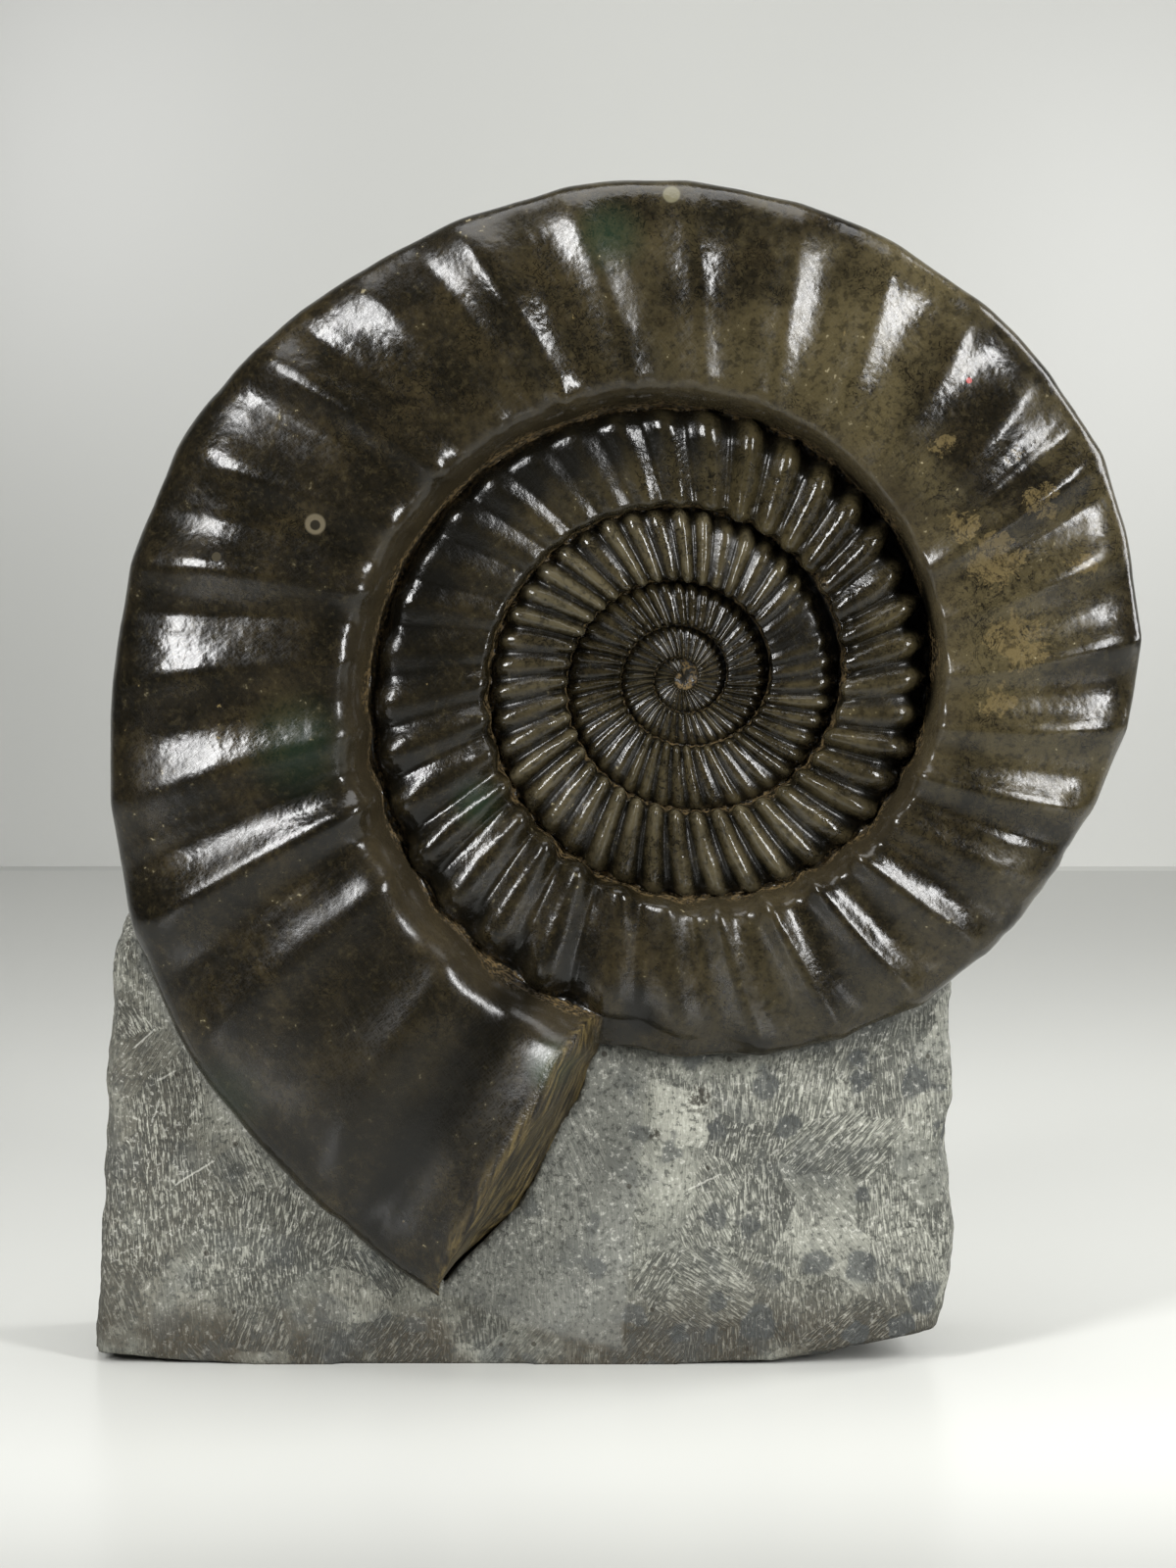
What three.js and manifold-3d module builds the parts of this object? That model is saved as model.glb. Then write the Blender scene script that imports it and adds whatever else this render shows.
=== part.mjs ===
// A large ribbed ammonite standing in the block of grey limestone that it was freed from.
// Millimetres, +Z up. The coil's show side faces -Y and its growth runs anticlockwise as seen from there.
// Angles along the coil are in degrees and keep counting from turn to turn: 0 to 360 would be one turn, and
// the last turn runs from about -107 to the broken mouth. Angle 0 points along +X and 90 along +Z.

import * as THREE from "three";
import { mergeVertices } from "three/addons/utils/BufferGeometryUtils.js";
import Module from "manifold-3d";

// Coil: where it stands and how far it runs
const AXIS_HEIGHT = 293; // coil axis above the surface that the block stands on
const HEART_ANGLE = -1530; // where the first turn starts
const MOUTH_ANGLE = 253; // where the umbilical end of the broken mouth is
const TURN = 360;

// Radius of the seam on the inner side of the whorl, at each quarter turn from the heart outwards
const SEAM_STEP = 90;
const SEAM_RADII = [
  4.6, 6.2, 8.5, 12.2, 14.4, 18.5, 22.4, 26.0, 28.1, 36.4, 41.0, 48.6, 55.5, 66.4, 71.9, 81.3, 91.6, 103.2, 113.4,
  130.5, 147.7,
];

// Radius of the outer edge of the last turn, at each twelfth of it, and how far older turns reach under the next
const RIM_START = -120;
const RIM_STEP = 30;
const RIM_RADII = [156.5, 160.1, 169.2, 177.1, 191.6, 198.7, 202.0, 208.5, 215.5, 231.7, 241.3, 259.4, 273.6, 287];
const TUCKED_SHARE = 1.085;
const EMERGE_ANGLE = 30; // the older whorl comes out from under the mouth over this much of the last turn

// Whorl section, as shares of the whorl's width and of its half thickness
const HALF_THICKNESS_SHARE = 0.235; // half thickness over the whorl's middle radius
const SHOULDER = { across: 0.1, height: 0.95, relief: 0.9 };
const FLANK = { across: 0.5, height: 1, relief: 1 };
const OUTER_FLANK = { across: 0.85, height: 0.86, relief: 1 };
const VENTRAL_EDGE = { across: 0.965, height: 0.58, relief: 0.35 };
const VENTER_RELIEF = 0.15;
const SEAM_HEIGHT = 0.55; // seam level over the half thickness of the whorl inside it
const CLEFT_DROP = 0.22; // the seam lies this much deeper around CLEFT_ANGLE
const CLEFT_ANGLE = 20;
const CLEFT_HALF_WIDTH = 85;
const MOUTH_SEAM_HEIGHT = 0.88;
const MOUTH_RUN = 26; // the whorl turns into the broken mouth over this much of the coil

// Ribs: degrees from one crest to the next along the coil, and their height over that distance
const LAST_CREST = 230;
const LIP_CREST = 248; // a last bulge just inside the broken mouth, behind a broad hollow
const LIP_HOLLOW = [236, 243];
const RIB_SPACING = [
  [-1530, 11], [-1200, 9], [-830, 8.2], [-470, 8.6], [-400, 9.2], [-350, 8.9], [-270, 10], [-125, 9.8], [-108, 12.6],
  [0, 11.6], [50, 11.6], [90, 13.6], [130, 13], [180, 12.2], [213, 12.6], [230, 16.5],
];
const RIB_HEIGHT_SHARE = [[-1530, 0.2], [-470, 0.2], [-130, 0.16], [-60, 0.14], [205, 0.14], [253, 0.11]];
const CREST_RISE = 0.65; // share of the rib height above the smooth whorl; the rest lies below it
const RIB_SWEEP = 4; // ribs lean forward by this many degrees from seam to rim
const FINE_FROM = -840; // two flat interspace columns per rib from here outwards, one further in

// Broken mouth
const MOUTH_TILT = -6.6; // degrees that its rim end trails its umbilical end
const MOUTH_SLOPE = 5; // degrees that the break runs on from the show side to the middle plane

// Block: front outline as [x from the coil axis, z], anticlockwise from its lower left corner
const BLOCK_OUTLINE = [
  [-252, 2.5], [-214, 1], [-186, 0], [-124, 0], [-62, 0], [0, 0], [38, 1.5], [62, 4], [88, 8.5], [110, 13.5],
  [114, 34], [117, 56], [113.5, 88], [117.5, 112], [115, 160], [98, 178], [56, 188], [0, 194], [-62, 201],
  [-124, 207], [-182, 212], [-222, 204], [-240, 180], [-244, 150], [-245.5, 95], [-249, 45],
];
const BLOCK_MIDDLE = [-66, 92]; // the outline shrinks towards this point on the front and back faces
// Sections of the block from front to back: depth, share of the outline, and roughness
const BLOCK_SECTIONS = [
  { depth: -6, share: 0.5, rough: 1.6 },
  { depth: -5, share: 0.975, rough: 1.2 },
  { depth: 4, share: 1, rough: 1.5 },
  { depth: 42, share: 1.005, rough: 2.5 },
  { depth: 76, share: 0.985, rough: 2.5 },
  { depth: 86, share: 0.93, rough: 1.5 },
  { depth: 88, share: 0.5, rough: 2.5 },
];
const FLOOR_LEVEL = 2; // outline points up to this level stay on the underside
const BOND_GAP = 0.5; // between the fossil and the stone around it
const POCKET_STEP = 4; // degrees between sections of the pocket
const POCKET_SPANS = [[-232, -104], [-110, 74], [70, MOUTH_ANGLE]];
const POCKET_DEPTH_INWARDS = 8; // the pocket's sections start this far inside the seam

const SHELL_FINISH = { color: 0x3a352b, roughness: 0.32, metalness: 0 };
const STONE_FINISH = { color: 0x8f8f88, roughness: 0.92, metalness: 0 };

const degrees = Math.PI / 180;
const ease = (t) => THREE.MathUtils.smoothstep(t, 0, 1);
const mix = THREE.MathUtils.lerp;

// A value between stations a fixed step apart, on a smooth curve through them.
function smoothStation(values, position) {
  const last = values.length - 1;
  const i = THREE.MathUtils.clamp(Math.floor(position), 0, last - 1);
  const at = (k) => values[THREE.MathUtils.clamp(k, 0, last)];
  const t = position - i;
  const before = (at(i + 1) - at(i - 1)) / 2;
  const after = (at(i + 2) - at(i)) / 2;
  const bend = 3 * (at(i + 1) - at(i)) - 2 * before - after;
  const twist = before + after - 2 * (at(i + 1) - at(i));
  return at(i) + t * (before + t * (bend + t * twist));
}

// A value between [position, value] pairs, on straight lines.
function straightStation(pairs, position) {
  const next = pairs.findIndex(([p]) => p > position);
  if (next === 0) return pairs[0][1];
  if (next < 0) return pairs.at(-1)[1];
  const [p0, v0] = pairs[next - 1];
  const [p1, v1] = pairs[next];
  return mix(v0, v1, (position - p0) / (p1 - p0));
}

// Coil law
const FREE_FROM = MOUTH_ANGLE - TURN; // the last turn, whose outer edge nothing covers, starts here
const seamRadius = (angle) => smoothStation(SEAM_RADII, (angle - HEART_ANGLE) / SEAM_STEP);

function rimRadius(angle) {
  const covered = seamRadius(Math.min(angle, FREE_FROM) + TURN) * TUCKED_SHARE;
  const free = smoothStation(RIM_RADII, (angle - RIM_START) / RIM_STEP);
  return mix(covered, free, ease((angle - FREE_FROM + EMERGE_ANGLE) / EMERGE_ANGLE));
}

// Where the flank's own width ends: at the next seam on older turns, at the rim on the last one.
function flankEnd(angle) {
  const covered = seamRadius(Math.min(angle + TURN, MOUTH_ANGLE + EMERGE_ANGLE));
  return mix(covered, rimRadius(angle), ease((angle - FREE_FROM) / EMERGE_ANGLE));
}

const halfThickness = (angle) => (HALF_THICKNESS_SHARE * (seamRadius(angle) + rimRadius(angle))) / 2;
const mouthShare = (angle) => ease((angle - MOUTH_ANGLE + MOUTH_RUN) / MOUTH_RUN);

function seamHeight(angle) {
  const offCleft = Math.abs(THREE.MathUtils.euclideanModulo(angle - CLEFT_ANGLE + TURN / 2, TURN) - TURN / 2);
  const cleft = CLEFT_DROP * (1 - ease(offCleft / CLEFT_HALF_WIDTH));
  const share = mix(SEAM_HEIGHT - cleft, MOUTH_SEAM_HEIGHT, mouthShare(angle));
  const inside = Math.max(angle - TURN, HEART_ANGLE);
  return share * halfThickness(inside);
}

const ribHeight = (angle) => {
  const middle = (seamRadius(angle) + rimRadius(angle)) / 2;
  const distance = straightStation(RIB_SPACING, angle) * degrees * middle;
  return straightStation(RIB_HEIGHT_SHARE, angle) * distance;
};

// A point of the coil: radius and depth are in the whorl's section, across is the share of the whorl's width.
function coilPoint(angle, across, radius, depth) {
  const atMouth = mouthShare(angle);
  const lean = mix(RIB_SWEEP, MOUTH_TILT, atMouth) * across;
  const slope = MOUTH_SLOPE * atMouth * (1 + depth / halfThickness(angle));
  const turned = (angle + lean + slope) * degrees;
  return { x: radius * Math.cos(turned), y: depth, z: AXIS_HEIGHT + radius * Math.sin(turned), turned };
}

// Columns of the coil: one on each rib's crest, and one or two in the flat interspace after it.
function ribColumns() {
  const columns = [];
  let crest = LAST_CREST;
  for (const angle of LIP_HOLLOW) columns.push({ angle, rise: -(1 - CREST_RISE) });
  columns.push({ angle: LIP_CREST, rise: CREST_RISE }, { angle: MOUTH_ANGLE, rise: 0 });
  while (crest > HEART_ANGLE) {
    columns.unshift({ angle: crest, rise: CREST_RISE });
    const spacing = straightStation(RIB_SPACING, crest);
    const between = crest > FINE_FROM ? [1 / 3, 2 / 3] : [1 / 2];
    for (const share of between) {
      columns.unshift({ angle: crest - spacing * share, rise: -(1 - CREST_RISE) });
    }
    crest -= spacing;
  }
  return columns.filter(({ angle }) => angle > HEART_ANGLE);
}

// The ammonite: one closed surface. Each column of vertices runs from the seam over the show side, on the last turn
// over the venter, and back to the seam on the far side. Neighbouring turns share the seam between them.
function ammoniteGeometry() {
  const positions = [];
  const triangles = [];
  const addVertex = (point) => {
    positions.push(point.x, point.y, point.z);
    return { index: positions.length / 3 - 1, turned: point.turned };
  };
  const triangle = (a, b, c) => triangles.push(a.index, b.index, c.index);

  function sectionRow(column, row, side) {
    const { angle, rise } = column;
    const inner = seamRadius(angle);
    const outer = row === VENTRAL_EDGE ? rimRadius(angle) : flankEnd(angle);
    const relief = ribHeight(angle) * rise * row.relief;
    const outwards = row === VENTRAL_EDGE ? relief : 0;
    const radius = inner + row.across * (outer - inner) + outwards;
    return addVertex(coilPoint(angle, row.across, radius, side * (row.height * halfThickness(angle) + relief)));
  }

  function makeColumn(column) {
    const { angle, rise } = column;
    const free = angle >= FREE_FROM;
    const made = { angle, free, front: [], venter: [], back: [] };
    for (const [rows, side] of [[made.front, -1], [made.back, 1]]) {
      rows.push(addVertex(coilPoint(angle, 0, seamRadius(angle), side * seamHeight(angle))));
      for (const row of [SHOULDER, FLANK, OUTER_FLANK]) rows.push(sectionRow(column, row, side));
    }
    if (free) {
      const top = rimRadius(angle) + ribHeight(angle) * rise * VENTER_RELIEF;
      const edge = (side) => sectionRow(column, VENTRAL_EDGE, side);
      made.venter = [edge(-1), addVertex(coilPoint(angle, 1, top, 0)), edge(1)];
    }
    return made;
  }

  const columns = ribColumns().map(makeColumn);
  const firstFree = columns.findIndex(({ free }) => free);
  const mouth = columns.at(-1);
  const emerging = columns[firstFree];
  const around = (column) => [...column.front, ...column.venter, ...[...column.back].reverse()];

  // Two runs of vertices side by side, joined in the order of their angles; backwards swaps the facing.
  function zip(inner, outer, backwards) {
    const face = backwards ? (a, b, c) => triangle(a, c, b) : triangle;
    let i = 0;
    let k = 0;
    const shift = TURN * degrees;
    while (i < inner.length - 1 || k < outer.length - 1) {
      const innerNext = i < inner.length - 1 ? inner[i + 1].turned + shift : Infinity;
      const outerNext = k < outer.length - 1 ? outer[k + 1].turned : Infinity;
      if (innerNext < outerNext) {
        face(inner[i], outer[k], inner[i + 1]);
        i += 1;
      } else {
        face(inner[i], outer[k], outer[k + 1]);
        k += 1;
      }
    }
  }

  function strip(first, second) {
    for (let row = 0; row < first.length - 1; row += 1) {
      triangle(first[row], first[row + 1], second[row + 1]);
      triangle(first[row], second[row + 1], second[row]);
    }
  }

  columns.slice(0, -1).forEach((column, i) => {
    const next = columns[i + 1];
    if (column.free) {
      strip(around(column), around(next));
    } else {
      strip(column.front, next.front);
      strip([...column.back].reverse(), [...next.back].reverse());
    }
  });

  const secondTurn = columns.findIndex(({ angle }) => angle >= columns[0].angle + TURN);
  const heart = (side) => addVertex({ x: 0, y: side * seamHeight(HEART_ANGLE), z: AXIS_HEIGHT, turned: 0 });
  for (const [rows, side, backwards] of [["front", -1, false], ["back", 1, true]]) {
    const flankEdges = columns.slice(0, firstFree + 1).map((column) => column[rows].at(-1));
    const seam = columns.map((column) => column[rows][0]);
    zip(flankEdges, seam.slice(secondTurn), backwards);

    // The heart is a low fan inside the first turn, closed along that turn's first column.
    const middle = heart(side);
    const loop = [...seam.slice(0, secondTurn + 1), ...[...columns[0][rows]].reverse()];
    loop.slice(0, -1).forEach((vertex, i) => {
      const pair = backwards ? [loop[i + 1], vertex] : [vertex, loop[i + 1]];
      triangle(middle, ...pair);
    });
  }

  // The broken mouth: bands from the show side to the far side, down to the older whorl that comes out below it.
  const frontEdge = [...mouth.front, mouth.venter[0]];
  const backEdge = [...mouth.back, mouth.venter[2]];
  for (let row = 0; row < frontEdge.length - 1; row += 1) {
    triangle(frontEdge[row], frontEdge[row + 1], backEdge[row + 1]);
    triangle(frontEdge[row], backEdge[row + 1], backEdge[row]);
  }
  triangle(mouth.venter[0], mouth.venter[1], mouth.venter[2]);
  const below = [emerging.front.at(-1), ...emerging.venter, emerging.back.at(-1)];
  const half = (below.length - 1) / 2;
  for (let i = 0; i < below.length - 1; i += 1) {
    triangle(i < half ? frontEdge[0] : backEdge[0], below[i + 1], below[i]);
  }
  triangle(frontEdge[0], backEdge[0], below[half]);

  return indexedGeometry(positions, triangles);
}

function indexedGeometry(positions, triangles) {
  const geometry = new THREE.BufferGeometry();
  geometry.setAttribute("position", new THREE.Float32BufferAttribute(positions, 3));
  geometry.setIndex(triangles);
  return geometry;
}

// A closed solid from sections with the same number of points. Bands across the first and last section close it.
function loftedGeometry(sections) {
  const count = sections[0].length;
  const triangles = [];
  const quad = (a, b, c, d) => triangles.push(a, b, c, a, c, d);
  sections.slice(0, -1).forEach((_, s) => {
    for (let i = 0; i < count; i += 1) {
      const j = (i + 1) % count;
      quad(s * count + i, (s + 1) * count + i, (s + 1) * count + j, s * count + j);
    }
  });
  const end = (sections.length - 1) * count;
  for (let i = 0; i < Math.floor((count - 1) / 2); i += 1) {
    const [here, next, across, acrossNext] = [i, i + 1, count - 1 - i, count - 2 - i];
    if (next === acrossNext) {
      triangles.push(here, next, across, end + here, end + across, end + next);
    } else {
      quad(here, next, acrossNext, across);
      quad(end + here, end + across, end + acrossNext, end + next);
    }
  }
  return indexedGeometry(sections.flat(2), triangles);
}

// A repeatable offset between -1 and 1 for rough stone.
const roughness = (seed) => {
  const wave = Math.sin(seed * 12.9898) * 43758.5453;
  return 2 * (wave - Math.floor(wave)) - 1;
};

// The block before the fossil's pocket is cut: its outline carried from the front to the back, roughly hewn.
function blockGeometry() {
  const sections = BLOCK_SECTIONS.map(({ depth, share, rough }, s) =>
    BLOCK_OUTLINE.map(([x, z], i) => {
      const seed = s * BLOCK_OUTLINE.length + i;
      const grounded = z <= FLOOR_LEVEL && share > 0.9;
      const across = mix(BLOCK_MIDDLE[0], x, share) + rough * roughness(seed);
      const up = grounded ? z : mix(BLOCK_MIDDLE[1], z, share) + rough * roughness(seed + 0.37);
      return [across, depth + rough * roughness(seed + 0.71), Math.max(up, 0)];
    }),
  );
  return loftedGeometry(sections);
}

// A stretch of the pocket: the smooth whorl, swollen by its ribs and the gap all round, from its outer end inwards.
function pocketGeometry([from, to]) {
  const steps = Math.ceil((to - from) / POCKET_STEP);
  const sections = [];
  for (let step = 0; step <= steps; step += 1) {
    const angle = mix(to, from, step / steps);
    const swell = BOND_GAP + ribHeight(angle) * CREST_RISE;
    const [inner, rim, half] = [seamRadius(angle), rimRadius(angle), halfThickness(angle)];
    const outline = [
      [0, inner - POCKET_DEPTH_INWARDS, half + swell],
      [SHOULDER.across, mix(inner, rim, SHOULDER.across), half + swell],
      [FLANK.across, mix(inner, rim, FLANK.across), half + swell],
      [OUTER_FLANK.across, mix(inner, rim, OUTER_FLANK.across), half * OUTER_FLANK.height + swell],
      [VENTRAL_EDGE.across, mix(inner, rim, VENTRAL_EDGE.across) + swell, half * VENTRAL_EDGE.height + swell],
      [1, rim + BOND_GAP + ribHeight(angle) * CREST_RISE * VENTER_RELIEF, 0],
    ];
    const place = ([across, radius, depth], side) => {
      const past = step === 0 && to === MOUTH_ANGLE ? BOND_GAP / radius : 0;
      const turned = coilPoint(angle, across, radius, side * depth).turned + past;
      return [radius * Math.cos(turned), side * depth, AXIS_HEIGHT + radius * Math.sin(turned)];
    };
    const far = outline.slice(0, -1).reverse();
    sections.push([...outline.map((p) => place(p, -1)), ...far.map((p) => place(p, 1))]);
  }
  return loftedGeometry(sections);
}

// Boolean cuts
const wasm = await Module();
wasm.setup();

function solidFrom(geometry) {
  const merged = mergeVertices(geometry, 1e-3);
  const mesh = new wasm.Mesh({
    numProp: 3,
    vertProperties: merged.attributes.position.array,
    triVerts: new Uint32Array(merged.index.array),
  });
  return new wasm.Manifold(mesh);
}

function geometryFrom(solid) {
  const mesh = solid.getMesh();
  return indexedGeometry([...mesh.vertProperties], [...mesh.triVerts]);
}

// Crumbs that the cut leaves beside the block are dropped.
function matrixGeometry() {
  const pocket = POCKET_SPANS.map((span) => solidFrom(pocketGeometry(span))).reduce((a, b) => a.add(b));
  const bodies = solidFrom(blockGeometry()).subtract(pocket).decompose();
  return geometryFrom(bodies.reduce((a, b) => (a.volume() > b.volume() ? a : b)));
}

// The specimen: fossil and stone, with the origin in the middle of its footprint on the surface
const specimen = new THREE.Group();
for (const [name, geometry, finish] of [
  ["ammonite", ammoniteGeometry(), SHELL_FINISH],
  ["matrix", matrixGeometry(), STONE_FINISH],
]) {
  const mesh = new THREE.Mesh(geometry, new THREE.MeshStandardMaterial(finish));
  mesh.name = name;
  specimen.add(mesh);
}
const extent = new THREE.Box3().setFromObject(specimen);
const middle = extent.getCenter(new THREE.Vector3());
specimen.position.set(-middle.x, -middle.y, -extent.min.z);

const part = new THREE.Group();
part.add(specimen);

export default part;
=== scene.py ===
"""Looks of a large polished ammonite that stands in its block of grey limestone.

The shell is built as one fine surface on the same coil as its solid, and the block from the solid's own
faces. All lengths in the coil's tables are millimetres, and angles along the coil are degrees that keep
counting from turn to turn: the last turn runs from -107 to the broken mouth, 0 points to the right and 90 up.
"""

from __future__ import annotations

import logging
import math
from dataclasses import dataclass, field
from enum import Enum
from functools import reduce

import bpy
import numpy as np
from mathutils import Euler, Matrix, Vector, noise

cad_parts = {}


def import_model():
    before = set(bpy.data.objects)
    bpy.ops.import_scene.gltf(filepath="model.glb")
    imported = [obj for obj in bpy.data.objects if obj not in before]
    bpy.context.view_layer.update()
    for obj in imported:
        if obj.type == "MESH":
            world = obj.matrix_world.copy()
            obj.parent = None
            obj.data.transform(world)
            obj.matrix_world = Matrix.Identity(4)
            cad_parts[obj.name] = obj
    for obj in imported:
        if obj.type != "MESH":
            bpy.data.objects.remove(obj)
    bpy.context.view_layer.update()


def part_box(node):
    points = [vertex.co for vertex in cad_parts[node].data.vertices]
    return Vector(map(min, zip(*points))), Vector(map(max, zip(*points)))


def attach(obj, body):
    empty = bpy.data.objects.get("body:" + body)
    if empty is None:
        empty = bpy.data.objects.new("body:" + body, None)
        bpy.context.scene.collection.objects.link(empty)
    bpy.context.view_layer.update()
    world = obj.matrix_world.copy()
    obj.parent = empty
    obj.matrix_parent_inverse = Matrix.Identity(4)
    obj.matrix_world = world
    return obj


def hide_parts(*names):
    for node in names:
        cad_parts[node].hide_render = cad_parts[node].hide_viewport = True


LOG = logging.getLogger("ammonite")
MM = 0.001
TURN = 360.0

Colour = tuple[float, float, float]
Point = tuple[float, float, float]
Pairs = tuple[tuple[float, float], ...]
Array = np.ndarray
Values = Array | float
Socket = bpy.types.NodeSocket


def ease(value: Values) -> Array:
    """Returns a smooth step from 0 to 1 over the range 0 to 1."""
    share = np.clip(value, 0.0, 1.0)
    return share * share * (3.0 - 2.0 * share)


def blend(first: Values, second: Values, share: Values) -> Values:
    """Returns the value that lies the given share of the way from first to second."""
    return first + (second - first) * share


def bump_at(value: Array, middle: float, half_width: float) -> Array:
    """Returns a smooth hump of height 1 at middle that ends half_width away from it."""
    return 1.0 - ease(np.abs(value - middle) / half_width)


def wrapped(angle: Values) -> Values:
    """Returns an angle in degrees brought between half a turn back and half a turn on."""
    return np.mod(angle + TURN / 2.0, TURN) - TURN / 2.0


def uneven(spot: Vector, waves: Pairs) -> float:
    """Returns how far a place stands up from a surface, summed over waves of a length and a height."""
    return sum(height * noise.noise(spot / length) for length, height in waves)


def linear(share: float) -> float:
    """Returns the linear strength of an sRGB channel, both 0 to 1."""
    return share / 12.92 if share <= 0.04045 else ((share + 0.055) / 1.055) ** 2.4


def srgb(red: int, green: int, blue: int) -> Colour:
    """Returns the linear colour of an sRGB one given as 0 to 255."""
    return linear(red / 255.0), linear(green / 255.0), linear(blue / 255.0)


class Side(Enum):
    """The two flanks of the coil, by the sign of their depth."""

    SHOW = -1.0
    FAR = 1.0


@dataclass(frozen=True)
class Coil:
    """The coil law that the solid has too: radii, thickness and ribs along the spiral, in millimetres."""

    start: float = -1709.0
    mouth: float = 253.0
    seam_origin: float = -1710.0
    seam_step: float = 90.0
    seam_radii: tuple[float, ...] = (
        2.4, 3.3, 4.6, 6.2, 8.5, 12.2, 14.4, 18.5, 22.4, 26.0, 28.1, 36.4, 41.0, 48.6, 55.5, 66.4, 71.9, 81.3,
        91.6, 103.2, 113.4, 130.5, 147.7,
    )
    rim_origin: float = -120.0
    rim_step: float = 30.0
    rim_radii: tuple[float, ...] = (
        156.5, 160.1, 169.2, 177.1, 191.6, 198.7, 202.0, 208.5, 215.5, 231.7, 241.3, 259.4, 273.6, 287.0,
    )
    tucked_share: float = 1.085
    emerge_angle: float = 30.0
    half_thickness_share: float = 0.235
    seam_height: float = 0.55
    cleft_drop: float = 0.46
    cleft_angle: float = 20.0
    cleft_half_width: float = 85.0
    mouth_seam_height: float = 0.88
    mouth_run: float = 26.0
    mouth_tilt: float = -6.6
    mouth_slope: float = 5.0
    tip_share: float = -0.59
    tip_start: float = 0.55
    last_crest: float = 230.0
    lip_crest: float = 254.0
    rib_sweep: float = 4.0
    rib_spacing: Pairs = (
        (-1710, 15), (-1530, 11), (-1200, 9), (-830, 8.2), (-470, 8.6), (-400, 9.2), (-350, 8.9), (-270, 10),
        (-125, 9.8), (-108, 12.6), (0, 11.6), (50, 11.6), (90, 13.6), (130, 13), (180, 12.2), (213, 12.6),
        (230, 16.5),
    )
    rib_height_share: Pairs = (
        (-1710, 0.3), (-470, 0.33), (-130, 0.25), (-60, 0.15), (205, 0.14), (216, 0.08), (230, 0.06),
        (253, 0.13),
    )
    crest_rise: float = 0.65
    spare_angle: float = 30.0

    @property
    def free_from(self) -> float:
        """The angle where the last turn starts, whose outer edge nothing covers."""
        return self.mouth - TURN

    @staticmethod
    def stations(values: tuple[float, ...], position: Array) -> Array:
        """Reads a smooth curve through evenly spaced stations.

        Args:
            values: The station values.
            position: Where to read, counted in stations from the first.

        Returns:
            The values on the curve.
        """
        table = np.asarray(values)
        last = len(table) - 1
        station = np.clip(np.floor(position).astype(int), 0, last - 1)
        share = position - station
        here, following = table[station], table[station + 1]
        before = (following - table[np.clip(station - 1, 0, last)]) / 2.0
        after = (table[np.clip(station + 2, 0, last)] - here) / 2.0
        bend = 3.0 * (following - here) - 2.0 * before - after
        twist = before + after - 2.0 * (following - here)
        return here + share * (before + share * (bend + share * twist))

    @staticmethod
    def lines(pairs: Pairs, position: Values) -> Array:
        """Reads straight lines between (position, value) pairs."""
        places, values = zip(*pairs)
        return np.interp(position, places, values)

    def seam(self, angle: Array) -> Array:
        """Returns the radius of the seam on the whorl's inner side."""
        return self.stations(self.seam_radii, (angle - self.seam_origin) / self.seam_step)

    def rim(self, angle: Array) -> Array:
        """Finds the whorl's outer edge, which lies under the next whorl on older turns.

        Args:
            angle: The angle along the coil.

        Returns:
            The edge's radius.
        """
        covered = self.seam(np.minimum(angle, self.free_from) + TURN) * self.tucked_share
        free = self.stations(self.rim_radii, (angle - self.rim_origin) / self.rim_step)
        return blend(covered, free, ease((angle - self.free_from + self.emerge_angle) / self.emerge_angle))

    def emerged(self, angle: Array) -> Array:
        """Returns how far the whorl has come out from under the next one, 0 to 1."""
        return ease((angle - self.free_from) / self.emerge_angle)

    def flank_end(self, angle: Array) -> Array:
        """Returns the radius where the flank's own width ends."""
        covered = self.seam(np.minimum(angle + TURN, self.mouth + self.emerge_angle))
        return blend(covered, self.rim(angle), self.emerged(angle))

    def half_thickness(self, angle: Array) -> Array:
        """Returns half the whorl's thickness."""
        return self.half_thickness_share * (self.seam(angle) + self.rim(angle)) / 2.0

    def at_mouth(self, angle: Array) -> Array:
        """Returns how much the broken mouth shapes the whorl, 0 to 1."""
        return ease((angle - self.mouth + self.mouth_run) / self.mouth_run)

    def cleft(self, angle: Array) -> Array:
        """Returns how far the seam opens into a cleft, 0 to 1."""
        return 1.0 - ease(np.abs(wrapped(angle - self.cleft_angle)) / self.cleft_half_width)

    def seam_level(self, angle: Array) -> Array:
        """Finds how high the seam on the whorl's inner side lies.

        Args:
            angle: The angle along the coil.

        Returns:
            The distance from the middle plane.
        """
        opened = self.seam_height - self.cleft_drop * self.cleft(angle)
        share = blend(opened, self.mouth_seam_height, self.at_mouth(angle))
        return share * self.half_thickness(np.maximum(angle - TURN, self.seam_origin))

    def rib_height(self, angle: Array) -> Array:
        """Finds how high the ribs are.

        Args:
            angle: The angle along the coil.

        Returns:
            The height from interspace to crest.
        """
        middle = (self.seam(angle) + self.rim(angle)) / 2.0
        distance = self.lines(self.rib_spacing, angle) * math.radians(1.0) * middle
        return self.lines(self.rib_height_share, angle) * distance

    def crests(self) -> Array:
        """Counts the ribs back from the mouth.

        Returns:
            The angles of the rib crests from the heart outwards.
        """
        found = [self.lip_crest + 2.0 * (self.lip_crest - self.last_crest), self.lip_crest]
        crest = self.last_crest
        while crest > self.start - self.spare_angle:
            found.append(crest)
            crest -= float(self.lines(self.rib_spacing, crest))
        return np.array(found[::-1])

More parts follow.
